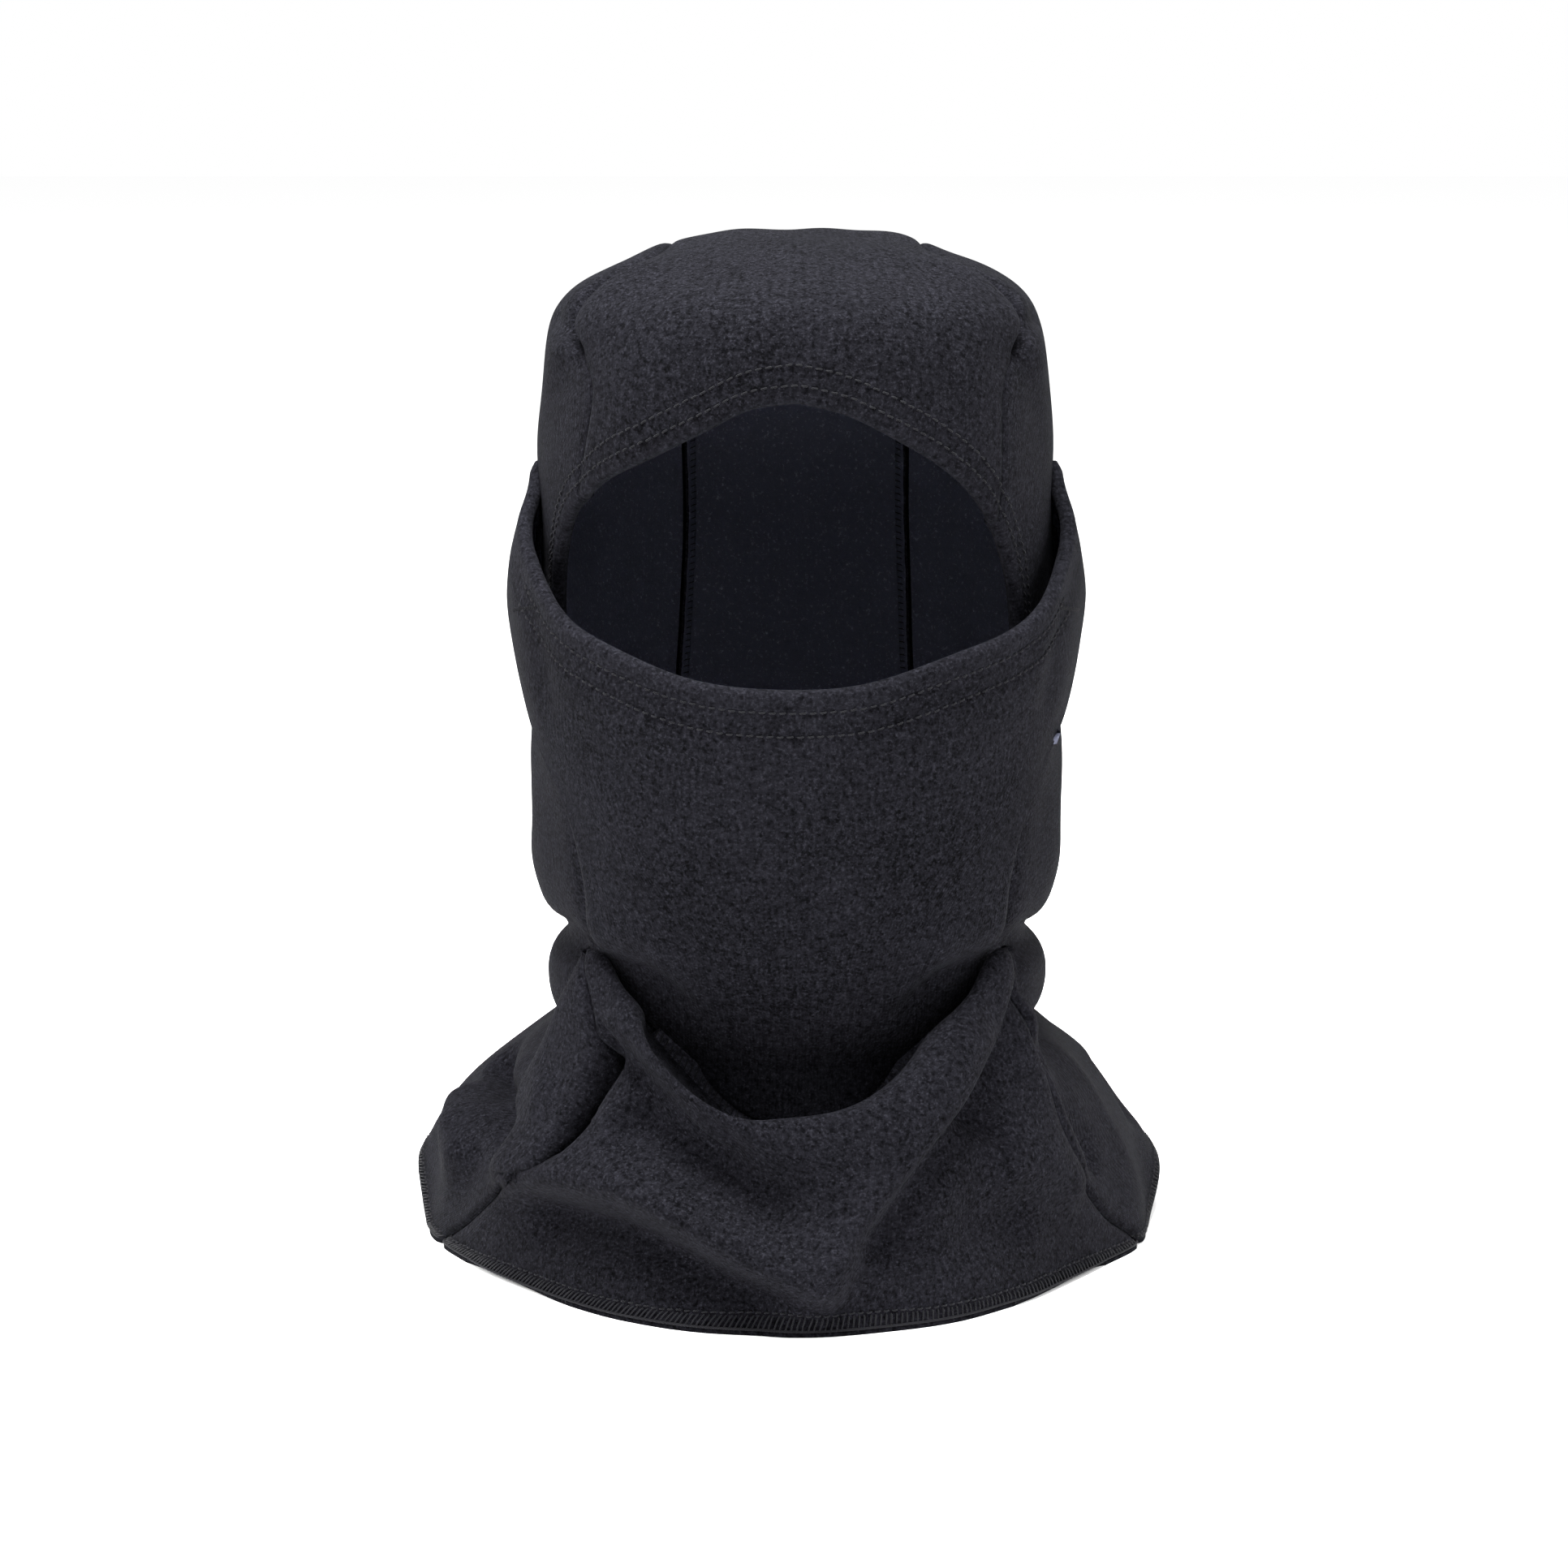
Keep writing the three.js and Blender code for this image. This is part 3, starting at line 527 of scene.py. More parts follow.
# Spun thread: twisted plies and a soft shine
def threadFinish(name, look):
    f = Finish(name)
    place = f.node("ShaderNodeTexCoord", output="Object")
    twist = f.node("ShaderNodeTexWave", {"bands_direction": "DIAGONAL"},
                   {"Vector": place, "Scale": 900.0, "Distortion": 1.5, "Detail": 1.0}, 1)
    stray = f.node("ShaderNodeTexNoise", values={"Vector": place, "Scale": 500.0, "Detail": 2.0})
    f.put(f.shader.inputs["Base Color"],
          f.mixColour(twist * 0.5 + stray * 0.6 - 0.1, look["dark"], look["pale"]))
    f.put(f.shader.inputs["Roughness"], stray * 0.25 + 0.6)
    f.put(f.shader.inputs["Normal"], f.node("ShaderNodeBump", values={
        "Strength": 0.6, "Distance": 0.0002, "Height": twist}))
    f.shader.inputs["Sheen Weight"].default_value = 0.02
    f.shader.inputs["Specular IOR Level"].default_value = 0.08
    return f.material


# Ribbed elastic tape
def tapeFinish(name):
    f = Finish(name)
    laid = f.node("ShaderNodeUVMap", {"uv_map": "cloth"})
    rib = f.node("ShaderNodeTexWave", {"bands_direction": "X"},
                 {"Vector": laid, "Scale": 260.0, "Distortion": 0.6}, 1)
    weave = f.node("ShaderNodeTexWave", {"bands_direction": "Y"}, {"Vector": laid, "Scale": 160.0}, 1)
    f.put(f.shader.inputs["Base Color"],
          f.mixColour(rib * 0.7 + weave * 0.3, shade(16, 16, 18), shade(52, 52, 56)))
    f.put(f.shader.inputs["Roughness"], weave * 0.2 + 0.6)
    f.put(f.shader.inputs["Normal"], f.node("ShaderNodeBump", values={
        "Strength": 0.7, "Distance": 0.0004, "Height": rib + weave * 0.4}))
    return f.material


# The wear depth sets how much paler the cloth is painted for wear and for the painted highlight and sheen on
# ridges and rolled edges
fleeceLook = {
    "dark": shade(2, 2, 3), "pale": shade(30, 30, 35),
    "patch": 22.0, "patchDepth": 0.3, "grain": 480.0, "grainDepth": 1.3, "fuzz": 950.0, "fuzzDepth": 1.1,
    "wales": 150.0, "knitDepth": 0.07, "fleckStops": [(0.55, 0.0), (0.68, 1.0)], "fleckDepth": 0.7,
    "wearAndHighlightDepth": 0.2, "level": 1.12, "bump": 0.75, "sheen": 0.008, "sheenTint": (0.86, 0.88, 1.0, 1.0),
}
# Inside faces: a much paler copy of the fleece, painted light that stands in for light inside the shaded hood
insidePaintedLightLook = dict(fleeceLook, dark=shade(78, 80, 94), pale=shade(130, 134, 152),
                  patchDepth=0.1, grainDepth=0.5)
hemLook = dict(fleeceLook, dark=shade(19, 19, 23), pale=shade(58, 58, 66), patchDepth=0.25)
finishes = {
    "outer_fleece": fleeceFinish("brushedFleece", fleeceLook),
    "turned_hem": fleeceFinish("turnedHemFleece", hemLook),
    "inside": fleeceFinish("insidePaintedLightFleece", insidePaintedLightLook),
    "elastic_tape": tapeFinish("elasticTape"),
    "topstitch_thread": threadFinish("topstitchThread", {"dark": shade(7, 7, 9), "pale": shade(22, 22, 26)}),
    "overlock_thread": threadFinish("overlockThread", {"dark": shade(9, 9, 11), "pale": shade(31, 31, 35)}),
}
print("materials made:", ", ".join(finishes))


# Gives a piece its body and hides the nodes that it stands for; a piece on the mask fold instead has its
# placement baked into its mesh
def settle(piece, slot, *nodes, body="hood"):
    if body == "maskFold":
        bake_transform(piece)
    else:
        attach(piece, body)
    if nodes:
        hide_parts(*nodes)
    return piece


def steps(length, pitch=None):
    return int(length / (pitch or cloth["pitch"]))


crown = {"waveSeed": 3, "ridgeHeight": 3.0, "ridgeFrom": 0.12, "ridgeTo": 0.42, "browTuck": 0.55}


def crownPoint(across, along):
    share = np.abs(across)[None, :, None]
    middleLine = onHood(np.array(crownMiddleLine, float))
    middleLine[0] = besideOpening("left", np.array([0.0]), cloth["hemRoll"])[0]
    centre = curveAt(middleLine, along)[:, None]
    sides, brow = [], []
    for side in ("right", "left"):
        sides.append(curveAt(crownSeams[side], along)[:, None])
        brow.append(besideOpening(side, browShare * np.abs(across), cloth["hemRoll"])[None])
    isLeft = (across > 0)[None, :, None]
    edge, front = np.where(isLeft, sides[1], sides[0]), np.where(isLeft, brow[1], brow[0])
    point = centre * (1 - share) + edge * share
    start = centre[:1] * (1 - share) + edge[:1] * share
    pull = (np.clip(1 - along * 7, 0, 1)**2)[:, None, None]
    return onHood(point + (front - start) * pull)


def makeCrown():
    across, along = np.linspace(-1, 1, steps(160)), np.linspace(0, 1, steps(520))
    p = crownPoint(across, along)
    n = hoodNormal(p)
    p = undulate(p, n, cloth["waviness"], crown["waveSeed"])
    ridge = crown["ridgeHeight"] * (smooth((along - crown["ridgeFrom"]) / 0.08)
                                    * smooth((crown["ridgeTo"] - along) / 0.12))[:, None, None]
    calm = smooth((along - 0.11) / 0.05)[:, None, None]
    deep = crown["browTuck"] + (cloth["seamTuck"] - crown["browTuck"]) * calm
    for fromEnd in (False, True):
        p = tuckEdge(p, n, 1, fromEnd, deep=deep, puff=cloth["seamPuff"] * (0.25 + 0.75 * calm) + ridge)
    p = tuckEdge(p, n, 0, True)
    n = gridNormals(p, n)
    # Paler band on the crown ridge is a painted highlight; the rolled brow rows are painted paler too, partly
    # wear and partly painted sheen
    wearAndHighlight = np.clip(ridge[..., 0] / 3, 0, 1) * np.exp(-((1 - np.abs(across))[None] * 12)**2)
    n[0] = hoodNormal(p[0])
    p, n = rollEdge(p, n, cloth["hemRoll"])
    wearAndHighlight = np.vstack([np.zeros((len(p) - len(wearAndHighlight), wearAndHighlight.shape[1])) + 0.4, wearAndHighlight])
    piece = clothPiece("crownPanel", p, n, finishes["outer_fleece"], wearAndHighlight=wearAndHighlight)
    settle(piece, "outer_fleece", "crown_panel")
    return p, n


# Side panels: laid out from the face opening (first row) to the back seam, top to bottom
sidePanel = {"seamBreak": 0.55, "waveSeed": 3, "bulge": 2.6, "grooveDepth": 2.2}
maskEdgeLine = [(72, -50, 118), (72, -54, 134), (72, -58, 150), (74, -57, 166), (79, -49, 180),
                (87, -33, 194)]
sideFolds = {
    "left": [
        {"path": maskEdgeLine, "height": 2.8, "gentle": 9, "steep": 12, "taper": (8, 14)},
        {"path": [(78, -44, 114), (86, -5, 111), (82, 45, 110), (58, 80, 110)], "height": -6, "gentle": 4.5,
         "steep": 6, "taper": (4, 20)},
        {"path": [(78, -56, 328), (84, -44, 330), (85, -20, 331)], "height": -4, "gentle": 4, "steep": 3,
         "taper": (4, 10)},
        {"path": [(92, -20, 165), (90, 10, 150), (84, 50, 145)], "height": -2.2, "gentle": 14, "steep": 9},
        {"path": [(88, 30, 262), (80, 66, 244), (62, 92, 236)], "height": 2.2, "gentle": 16, "steep": 12},
        {"path": [(89, 10, 205), (80, 62, 196), (58, 95, 200)], "height": -2.4, "gentle": 16, "steep": 10},
    ],
    "right": [
        {"path": [(-x, y, z) for x, y, z in maskEdgeLine], "height": 2.8, "gentle": 12, "steep": 9,
         "taper": (8, 14)},
        {"path": [(-78, -44, 114), (-86, -5, 111), (-82, 45, 110), (-58, 80, 110)], "height": -6, "gentle": 6,
         "steep": 4.5, "taper": (4, 20)},
        {"path": [(-78, -56, 328), (-84, -44, 330), (-85, -20, 331)], "height": -4, "gentle": 4, "steep": 3,
         "taper": (4, 10)},
        {"path": [(-92, -14, 168), (-90, 14, 156), (-82, 54, 150)], "height": -2.2, "gentle": 13, "steep": 9},
        {"path": [(-89, 22, 270), (-82, 60, 250), (-64, 90, 240)], "height": 2.0, "gentle": 16, "steep": 12},
        {"path": [(-90, 14, 210), (-80, 62, 204), (-56, 96, 206)], "height": -2.2, "gentle": 15, "steep": 10},
    ],
}


def sidePoint(side, s, t):
    seam = crownSeams[side]
    seamBreak = sidePanel["seamBreak"]
    front = besideOpening(side, browShare + (1 - browShare) * t, cloth["hemRoll"])[None]
    upper = curveAt(seam, s * seamBreak)[:, None]
    rear = curveAt(seam, seamBreak + (1 - seamBreak) * t)[None]
    first, last = front[0, -1], rear[0, -1]
    angles = [math.atan2(abs(q[0]), neckAxis - q[1]) for q in (first, last)]
    turn = (angles[0] + (angles[1] - angles[0]) * s) * signs[side]
    height = first[2] + (last[2] - first[2]) * s
    lower = aroundNeck(hoodRadius(turn, height), turn, height)[:, None]
    a, b = s[:, None, None], t[None, :, None]
    p = front * (1 - a) + rear * a + upper * (1 - b) + lower * b
    p = p - upper[0] * (1 - a) * (1 - b) - upper[-1] * a * (1 - b)
    return onHood(p - lower[0] * (1 - a) * b - lower[-1] * a * b)


def makeSide(side):
    s, t = np.linspace(0, 1, steps(250)), np.linspace(0, 1, steps(235))
    p = sidePoint(side, s, t)
    n = hoodNormal(p)
    p = undulate(p, n, cloth["waviness"], sidePanel["waveSeed"])
    p, _ = foldAll(p, n, sideFolds[side])
    corner = smooth((s - 0.22) / 0.1) * smooth((0.72 - s) / 0.2)
    calm = smooth((s - 0.2) / 0.09)
    deep = (crown["browTuck"] + (cloth["seamTuck"] - crown["browTuck"]) * calm
            + sidePanel["grooveDepth"] * corner)
    puff = cloth["seamPuff"] * (0.25 + 0.75 * calm) + sidePanel["bulge"] * corner
    p = tuckEdge(p, n, 1, deep=deep[:, None, None], puff=puff[:, None, None])
    p = tuckEdge(p, n, 1, True)
    p = tuckEdge(p, n, 0, True)
    n = gridNormals(p, n)
    n[0] = hoodNormal(p[0])
    p, n = rollEdge(p, n, cloth["hemRoll"])
    # Rolled edge painted paler: partly wear, partly painted sheen
    wearAndHighlight = np.zeros(p.shape[:2])
    wearAndHighlight[:16] = 0.4
    name = "sidePanel" + side.capitalize()
    piece = clothPiece(name, p, n, finishes["outer_fleece"], wearAndHighlight=wearAndHighlight)
    settle(piece, "outer_fleece", f"side_panel_{side}")
    return p, n


crownGrid = makeCrown()
sideGrids = {side: makeSide(side) for side in signs}
print("hood panels made")


# Mask: rows from the folded upper edge down to the foot under the chin, right to left
maskPanel = {
    "waveSeed": 11, "sideTuck": 1.6, "lyingFrom": 0.86, "cheek": 0.74, "upperRow": 7.4, "lowerRow": 15.3,
    "edgeLifts": [(0.33, 0.16, 4.2), (-0.4, 0.14, 2.2)],
    "folds": [
        # soft creases under the wings
        {"path": [(-97, -36, 248), (-91, -58, 232), (-87, -66, 212), (-84, -62, 192)], "height": -2.0,
         "gentle": 8, "steep": 6},
        {"path": [(97, -36, 248), (91, -58, 232), (87, -66, 212), (84, -62, 192)], "height": -2.0,
         "gentle": 8, "steep": 6},
        # rounded bottom of the cheeks, and the step in under it
        {"path": [(-76, -50, 131), (-64, -74, 130), (-50, -88, 127), (-38, -95, 116)], "height": 1.8,
         "gentle": 12, "steep": 5, "taper": (5, 14)},
        {"path": [(76, -50, 131), (64, -74, 130), (50, -88, 127), (38, -95, 116)], "height": 1.8,
         "gentle": 5, "steep": 12, "taper": (5, 14)},
        {"path": [(-74, -50, 119), (-63, -68, 119), (-49, -83, 115), (-40, -88, 104), (-33, -89, 92)],
         "height": -4.2, "gentle": 14, "steep": 4, "side": -1, "taper": (4, 22)},
        {"path": [(74, -50, 119), (63, -68, 119), (49, -83, 115), (40, -88, 104), (33, -89, 92)],
         "height": -4.2, "gentle": 14, "steep": 4, "side": 1, "taper": (4, 22)},
    ],
}


def maskPoint(across, along, drop=0.0):
    edgeHeight = maskHem["high"] + (118 - maskHem["high"]) * along
    angle = across * np.radians(outlineAt(maskSideEdge, edgeHeight, 1))
    top = maskHem["low"] + (maskHem["high"] - maskHem["low"]) * np.abs(across)**maskHem["rise"] - drop
    for place, width, lift in maskPanel["edgeLifts"]:
        top = top + lift * np.exp(-((across - place) / width)**2)
    foot = outlineAt(maskFootEdge, np.degrees(np.abs(angle)), 1)
    lying = smooth((np.abs(across) - maskPanel["lyingFrom"]) / (1 - maskPanel["lyingFrom"]))
    return onMask(angle, top + (foot - top) * along, lying)


def fromNeck(p):
    return unit(p - np.array([0, neckAxis, 0]) * [1, 1, 0] - p * [0, 0, 1])


def makeMask():
    across, along = np.linspace(-1, 1, steps(330)), np.linspace(0, 1, steps(150))
    p = maskPoint(across[None], along[:, None], cloth["hemRoll"] * (1 - along[:, None]))
    n = gridNormals(p, fromNeck(p))
    p = undulate(p, n, cloth["waviness"] * 0.8, maskPanel["waveSeed"])
    p, n = foldAll(p, n, maskPanel["folds"])
    stitchDip = np.zeros(p.shape[:2])
    d = lengthsFrom(p, 0)
    cheeks = smooth((maskPanel["cheek"] - np.abs(across)) / 0.1)[None]
    for row in ("upperRow", "lowerRow"):
        stitchDip += 0.5 * np.exp(-((d - maskPanel[row] + cloth["hemRoll"]) / 1.5)**2) * cheeks
    p = p - n * stitchDip[..., None]
    for fromEnd in (False, True):
        p = tuckEdge(p, n, 1, fromEnd, deep=maskPanel["sideTuck"], puff=0.3)
    n = gridNormals(p, n)
    outer = p, n
    p, n = rollEdge(p, n, cloth["hemRoll"])
    p, n = flipRows(*rollEdge(*flipRows(p, n), radius=2.0, turn=math.pi * 0.6, back=1.0, steps=5))
    # Rolled edge painted paler: partly wear, partly painted sheen
    wearAndHighlight = np.zeros(p.shape[:2])
    wearAndHighlight[:14] = 0.5
    piece = clothPiece("maskPanel", p, n, finishes["outer_fleece"], wearAndHighlight=wearAndHighlight)
    settle(piece, "outer_fleece", "mask_panel", body="maskFold")
    return outer


maskGrid = makeMask()
print("mask made")

# Bib: one loop of cloth round the neck, cut into a front and a back along its side seams
bib = {
    "waveSeed": 5, "waviness": 0.9, "pitch": 1.4, "ridgeRounds": 40, "ridgeLift": 2.5, "ridgeBand": 0.09,
    "seamTuck": 1.2, "hemHeight": 1.6,
    # side seams, as columns from the middle of the front, at rising shares of the way up
    "leftSeam": [[0, 8.2], [0.06, 7.7], [0.15, 6.6], [0.25, 5.6], [0.38, 5.0], [0.6, 4.9], [0.8, 4.8],
                 [1, 5.0]],
    "rightSeam": [[0, 8.2], [0.06, 7.7], [0.15, 6.5], [0.22, 5.4], [0.3, 4.2], [0.37, 3.6], [0.55, 3.25],
                  [0.7, 3.15], [0.82, 3.9], [0.91, 4.6], [1, 5.0]],
}
bibFolds = [
    # roll of cloth that swings from the right shoulder down to the middle of the hem
    {"path": [(-104, -45, 35), (-92, -65, 43), (-77, -82, 47), (-64, -94, 48), (-52, -105, 48),
              (-33, -116, 41),
              (-14, -121, 31), (5, -122, 22), (20, -121, 17)],
     "height": 13, "gentle": 11, "steep": 9, "droop": 2, "full": 1.9, "taper": (26, 10)},
    {"path": [(-90, -66, 30), (-80, -79, 30), (-66, -94, 30), (-52, -106, 28), (-35, -116, 22),
              (-18, -121, 16),
              (2, -123, 10)], "height": -9, "gentle": 10, "steep": 5, "side": -1, "taper": (18, 18)},
    # deep slot beside the cowl, between two swellings
    {"path": [(-61, -86, 96), (-65, -86, 84), (-68, -86, 75), (-71, -85, 65), (-75, -83, 57), (-79, -80, 48)],
     "height": -13, "gentle": 3.0, "steep": 3.0, "taper": (5, 12)},
    {"path": [(-55, -92, 84), (-60, -93, 72), (-66, -92, 60)], "height": 2.6, "gentle": 8, "steep": 5,
     "taper": (8, 10)},
    {"path": [(-84, -68, 78), (-87, -68, 64), (-89, -68, 54)], "height": 3.4, "gentle": 8, "steep": 8,
     "taper": (10, 10)},
    # crease in front of the right shoulder, and the lobe behind it
    {"path": [(-106, 30, 55), (-107, -1, 54), (-105, -22, 54), (-101, -42, 50), (-95, -60, 44)],
     "height": -13, "gentle": 7, "steep": 4.5, "taper": (14, 8)},
    {"path": [(-118, 24, 45), (-118, -5, 41), (-115, -24, 35), (-110, -36, 28)],
     "height": 8.5, "gentle": 9, "steep": 14, "taper": (18, 14)},
    # lower edge of the cowl on the right, then on the left down to the hem
    {"path": [(-63, -86, 92), (-48, -103, 79), (-35, -111, 70), (-24, -115, 64), (-8, -118, 56)],
     "height": -11, "gentle": 12, "steep": 6, "side": -1, "taper": (10, 26)},
    {"path": [(-62, -95, 68), (-42, -109, 62), (-26, -116, 54), (-10, -120, 46), (6, -121, 38)],
     "height": -9, "gentle": 9, "steep": 10, "taper": (10, 20)},
    {"path": [(74, -60, 112), (73, -74, 98), (71, -79, 90), (64, -88, 79), (58, -96, 71), (47, -106, 61),
              (37, -113, 49), (27, -118, 35), (22, -120, 23)],
     "height": -6, "gentle": 10, "steep": 3.4, "taper": (6, 10)},
    {"path": [(66, -82, 100), (58, -91, 88), (49, -100, 75), (39, -108, 62), (28, -115, 47), (16, -119, 32),
              (12, -121, 20)],
     "height": 6, "gentle": 6, "steep": 12, "taper": (12, 10)},
    {"path": [(57, -98, 72), (64, -92, 64), (72, -85, 56)], "height": -6, "gentle": 4, "steep": 3.4,
     "taper": (4, 6)},
    # hollows and rolls of the left shoulder
    {"path": [(84, -66, 92), (91, -58, 74), (99, -51, 52), (108, -40, 30)], "height": -7, "gentle": 10,
     "steep": 5, "taper": (14, 14)},
    {"path": [(62, -97, 48), (78, -84, 47), (90, -68, 40), (99, -56, 26)],
     "height": 6, "gentle": 12, "steep": 9,
     "taper": (18, 12)},
    {"path": [(46, -110, 27), (66, -97, 30), (84, -78, 24)], "height": -5, "gentle": 12, "steep": 9,
     "taper": (20, 16)},
    # the cowl's own roll
    {"path": [(-62, -84, 112), (-52, -94, 98), (-36, -105, 81), (-16, -114, 68), (4, -117, 64),
              (24, -113, 68),
              (42, -103, 84), (58, -90, 102)], "height": 4.5, "gentle": 10, "steep": 10, "taper": (14, 14)},
    {"path": [(-68, -84, 104), (-58, -95, 90), (-42, -108, 72), (-20, -118, 57)],
     "height": 3.5, "gentle": 11, "steep": 7, "full": 2.2, "taper": (14, 20)},
    # back and shoulders: long soft folds fanning from the neck
    {"path": [(60, 84, 62), (72, 98, 36), (84, 106, 10)], "height": 5, "gentle": 13, "steep": 10,
     "taper": (22, 14)},
    {"path": [(20, 98, 62), (24, 112, 36), (27, 119, 8)], "height": -4, "gentle": 12, "steep": 10,
     "taper": (22, 14)},
    {"path": [(-26, 97, 62), (-34, 110, 36), (-40, 118, 8)], "height": 4.5, "gentle": 12, "steep": 11,
     "taper": (22, 14)},
    {"path": [(-66, 80, 62), (-84, 92, 38), (-98, 98, 16)], "height": -4.5, "gentle": 12, "steep": 9,
     "taper": (22, 14)},
    {"path": [(104, 30, 56), (116, 32, 40), (126, 33, 24)], "height": -4, "gentle": 11, "steep": 8,
     "taper": (12, 12)},
]
sideTurn, backTurn = 9, len(bibColumns) - 1        # columns under the ear and at the nape


def bibLoops():
    half = np.array(bibColumns, float)
    mirrored = half[-2:0:-1] * [-1, 1, 1]
    loop = np.concatenate([half, mirrored])
    spread = np.where(loop[:, 0, 0] < 0, bibShape["rightSpread"], bibShape["leftSpread"])
    loop[:, 0, 0] *= spread
    return loop


def loopAt(loop, turn):
    turn = np.mod(turn, len(loop))
    i = np.floor(turn).astype(int)
    f = (turn - i)[..., None]
    a, b, c, d = (loop[(i + k) % len(loop)] for k in (-1, 0, 1, 2))
    return 0.5 * (2 * b + (c - a) * f + (2 * a - 5 * b + 4 * c - d) * f**2
                  + (3 * b - a - 3 * c + d) * f**3)


def bibPoint(turn, along):
    loop = bibLoops()
    hem, ridge, valley, seam = (loopAt(loop[:, k], turn) for k in range(4))
    t = np.abs(np.mod(turn + backTurn, 2 * backTurn) - backTurn)
    front = 0.25 + 0.53 * np.clip(t / sideTurn, 0, 1)**1.5
    back = 0.35 + 0.43 * np.clip(1 - (t - sideTurn) / (backTurn - sideTurn), 0, 1)**6
    full = np.where(t <= sideTurn, front, back)
    outside = bibShape["outside"]
    v = np.clip(along / outside, 0, 1)
    inward = (v + (1 - np.cos(v * math.pi / 2) - v) * full)[..., None]
    upward = (v + (np.sin(v * math.pi / 2) - v) * full)[..., None]
    slope = np.concatenate([hem[..., :2] + (ridge - hem)[..., :2] * inward,
                            hem[..., 2:] + (ridge - hem)[..., 2:] * upward], -1)
    w = np.clip((along - outside) / (1 - outside), 0, 1)[..., None]
    over = ridge * (1 - w)**2 + valley * 2 * w * (1 - w) + seam * w**2
    return np.where((along <= outside)[..., None], slope, over)


def bibShapeGrid(front, width):
    columns, rows = steps(width, bib["pitch"]), steps(170, bib["pitch"])
    along = np.linspace(0, 1, rows)
    leftSeam, rightSeam = (outlineAt(bib[key], along / bibShape["outside"], 1)
                           for key in ("leftSeam", "rightSeam"))
    share = np.linspace(0, 1, columns)[None]
    first, last = (-rightSeam, leftSeam) if front else (leftSeam, 2 * backTurn - rightSeam)
    turn = first[:, None] * (1 - share) + last[:, None] * share
    p = bibPoint(turn, along[:, None] + 0 * turn)
    n = unit(np.cross(np.gradient(p, axis=1), np.gradient(p, axis=0)))
    low = n[rows // 4, columns // 2]
    n = n * np.sign(np.sum(low * fromNeck(p[rows // 4, columns // 2])))
    soft = np.exp(-((along - bibShape["outside"]) / 0.13)**2)[:, None, None]
    p = p + (relax(p, bib["ridgeRounds"]) - p) * soft + [0, 0, 1] * soft * bib["ridgeLift"]
    n = gridNormals(relax(p, 12), n)
    p = undulate(p, n, bib["waviness"], bib["waveSeed"])
    p, n = foldAll(p, n, bibFolds, 3)
    ridge = np.exp(-((along - bibShape["outside"]) / bib["ridgeBand"])**2)[:, None, None]
    p = p + (relax(p, bib["ridgeRounds"]) - p) * ridge
    return [p, gridNormals(p, n)]


# Draws the edges of two panels onto the line halfway between them, and evens out the cloth beside it
def joinPanels(one, columnOne, other, columnOther, reach=10):
    middle = (one[0][:, columnOne] + other[0][:, columnOther]) / 2
    facing = unit(one[1][:, columnOne] + other[1][:, columnOther])
    for grid, column in ((one, columnOne), (other, columnOther)):
        p, n = grid
        away = np.minimum(np.abs(np.arange(p.shape[1]) - column % p.shape[1]) / reach, 1)
        pull = (0.5 + 0.5 * np.cos(np.pi * away))[None, :, None]
        grid[0] = p + (middle - p[:, column])[:, None] * pull
        grid[1] = unit(n * (1 - pull) + facing[:, None] * pull)


def makeBibPanel(name, node, grid):
    p, n = grid
    for fromEnd in (False, True):
        p = tuckEdge(p, n, 1, fromEnd, deep=bib["seamTuck"])
    p[..., 2] = np.maximum(p[..., 2], bib["hemHeight"])
    n = gridNormals(p, n)
    piece = clothPiece(name, p, n, finishes["outer_fleece"], lined=False)
    settle(piece, "outer_fleece", node)
    return p, n


bibShapes = {"front": bibShapeGrid(True, 260), "back": bibShapeGrid(False, 430)}
joinPanels(bibShapes["front"], -1, bibShapes["back"], 0)
joinPanels(bibShapes["front"], 0, bibShapes["back"], -1)
bibGrids = {
    "front": makeBibPanel("bibFront", "bib_front", bibShapes["front"]),
    "back": makeBibPanel("bibBack", "bib_back", bibShapes["back"]),
}
print("bib made")


# Round tubes along many short runs of points at once: runs is (count, points, 3)
def tubes(name, runs, normals, radius, material, sides=6, taperEnds=True):
    runs, normals = np.asarray(runs, float), np.asarray(normals, float)
    count, length = runs.shape[:2]
    run = unit(np.gradient(runs, axis=1))
    side = unit(np.cross(run, normals))
    up = np.cross(side, run)
    turn = np.linspace(0, 2 * math.pi, sides, endpoint=False)
    size = np.full(length, float(radius))
    if taperEnds:
        size[0] = size[-1] = radius * 0.35
    ring = (side[:, :, None] * np.cos(turn)[:, None] + up[:, :, None] * np.sin(turn)[:, None])
    points = (runs[:, :, None] + ring * size[None, :, None, None]).reshape(-1, 3)
    k, s = np.meshgrid(np.arange(length - 1), np.arange(sides), indexing="ij")
    a, b = (k * sides + s).ravel(), (k * sides + (s + 1) % sides).ravel()
    quads = np.stack([a, a + sides, b + sides, b], -1)
    step = np.arange(count)[:, None, None] * length * sides
    faces = (quads[None] + step).reshape(-1, 4).tolist()
    caps = [np.arange(sides), (length - 1) * sides + np.arange(sides)[::-1]]
    faces += [(cap + i * length * sides).tolist() for i in range(count) for cap in caps]
    return buildMesh(name, points, faces, material)


# Even stops along a line of points, with its normals
def stopsAlong(line, normals, spacing, start=0.0, end=0.0):
    walked = lengthsFrom(line, 0)
    at = np.arange(start, walked[-1] - end, spacing)
    place = np.stack([np.interp(at, walked, line[:, k]) for k in range(3)], -1)
    facing = unit(np.stack([np.interp(at, walked, normals[:, k]) for k in range(3)], -1))
    return place, facing


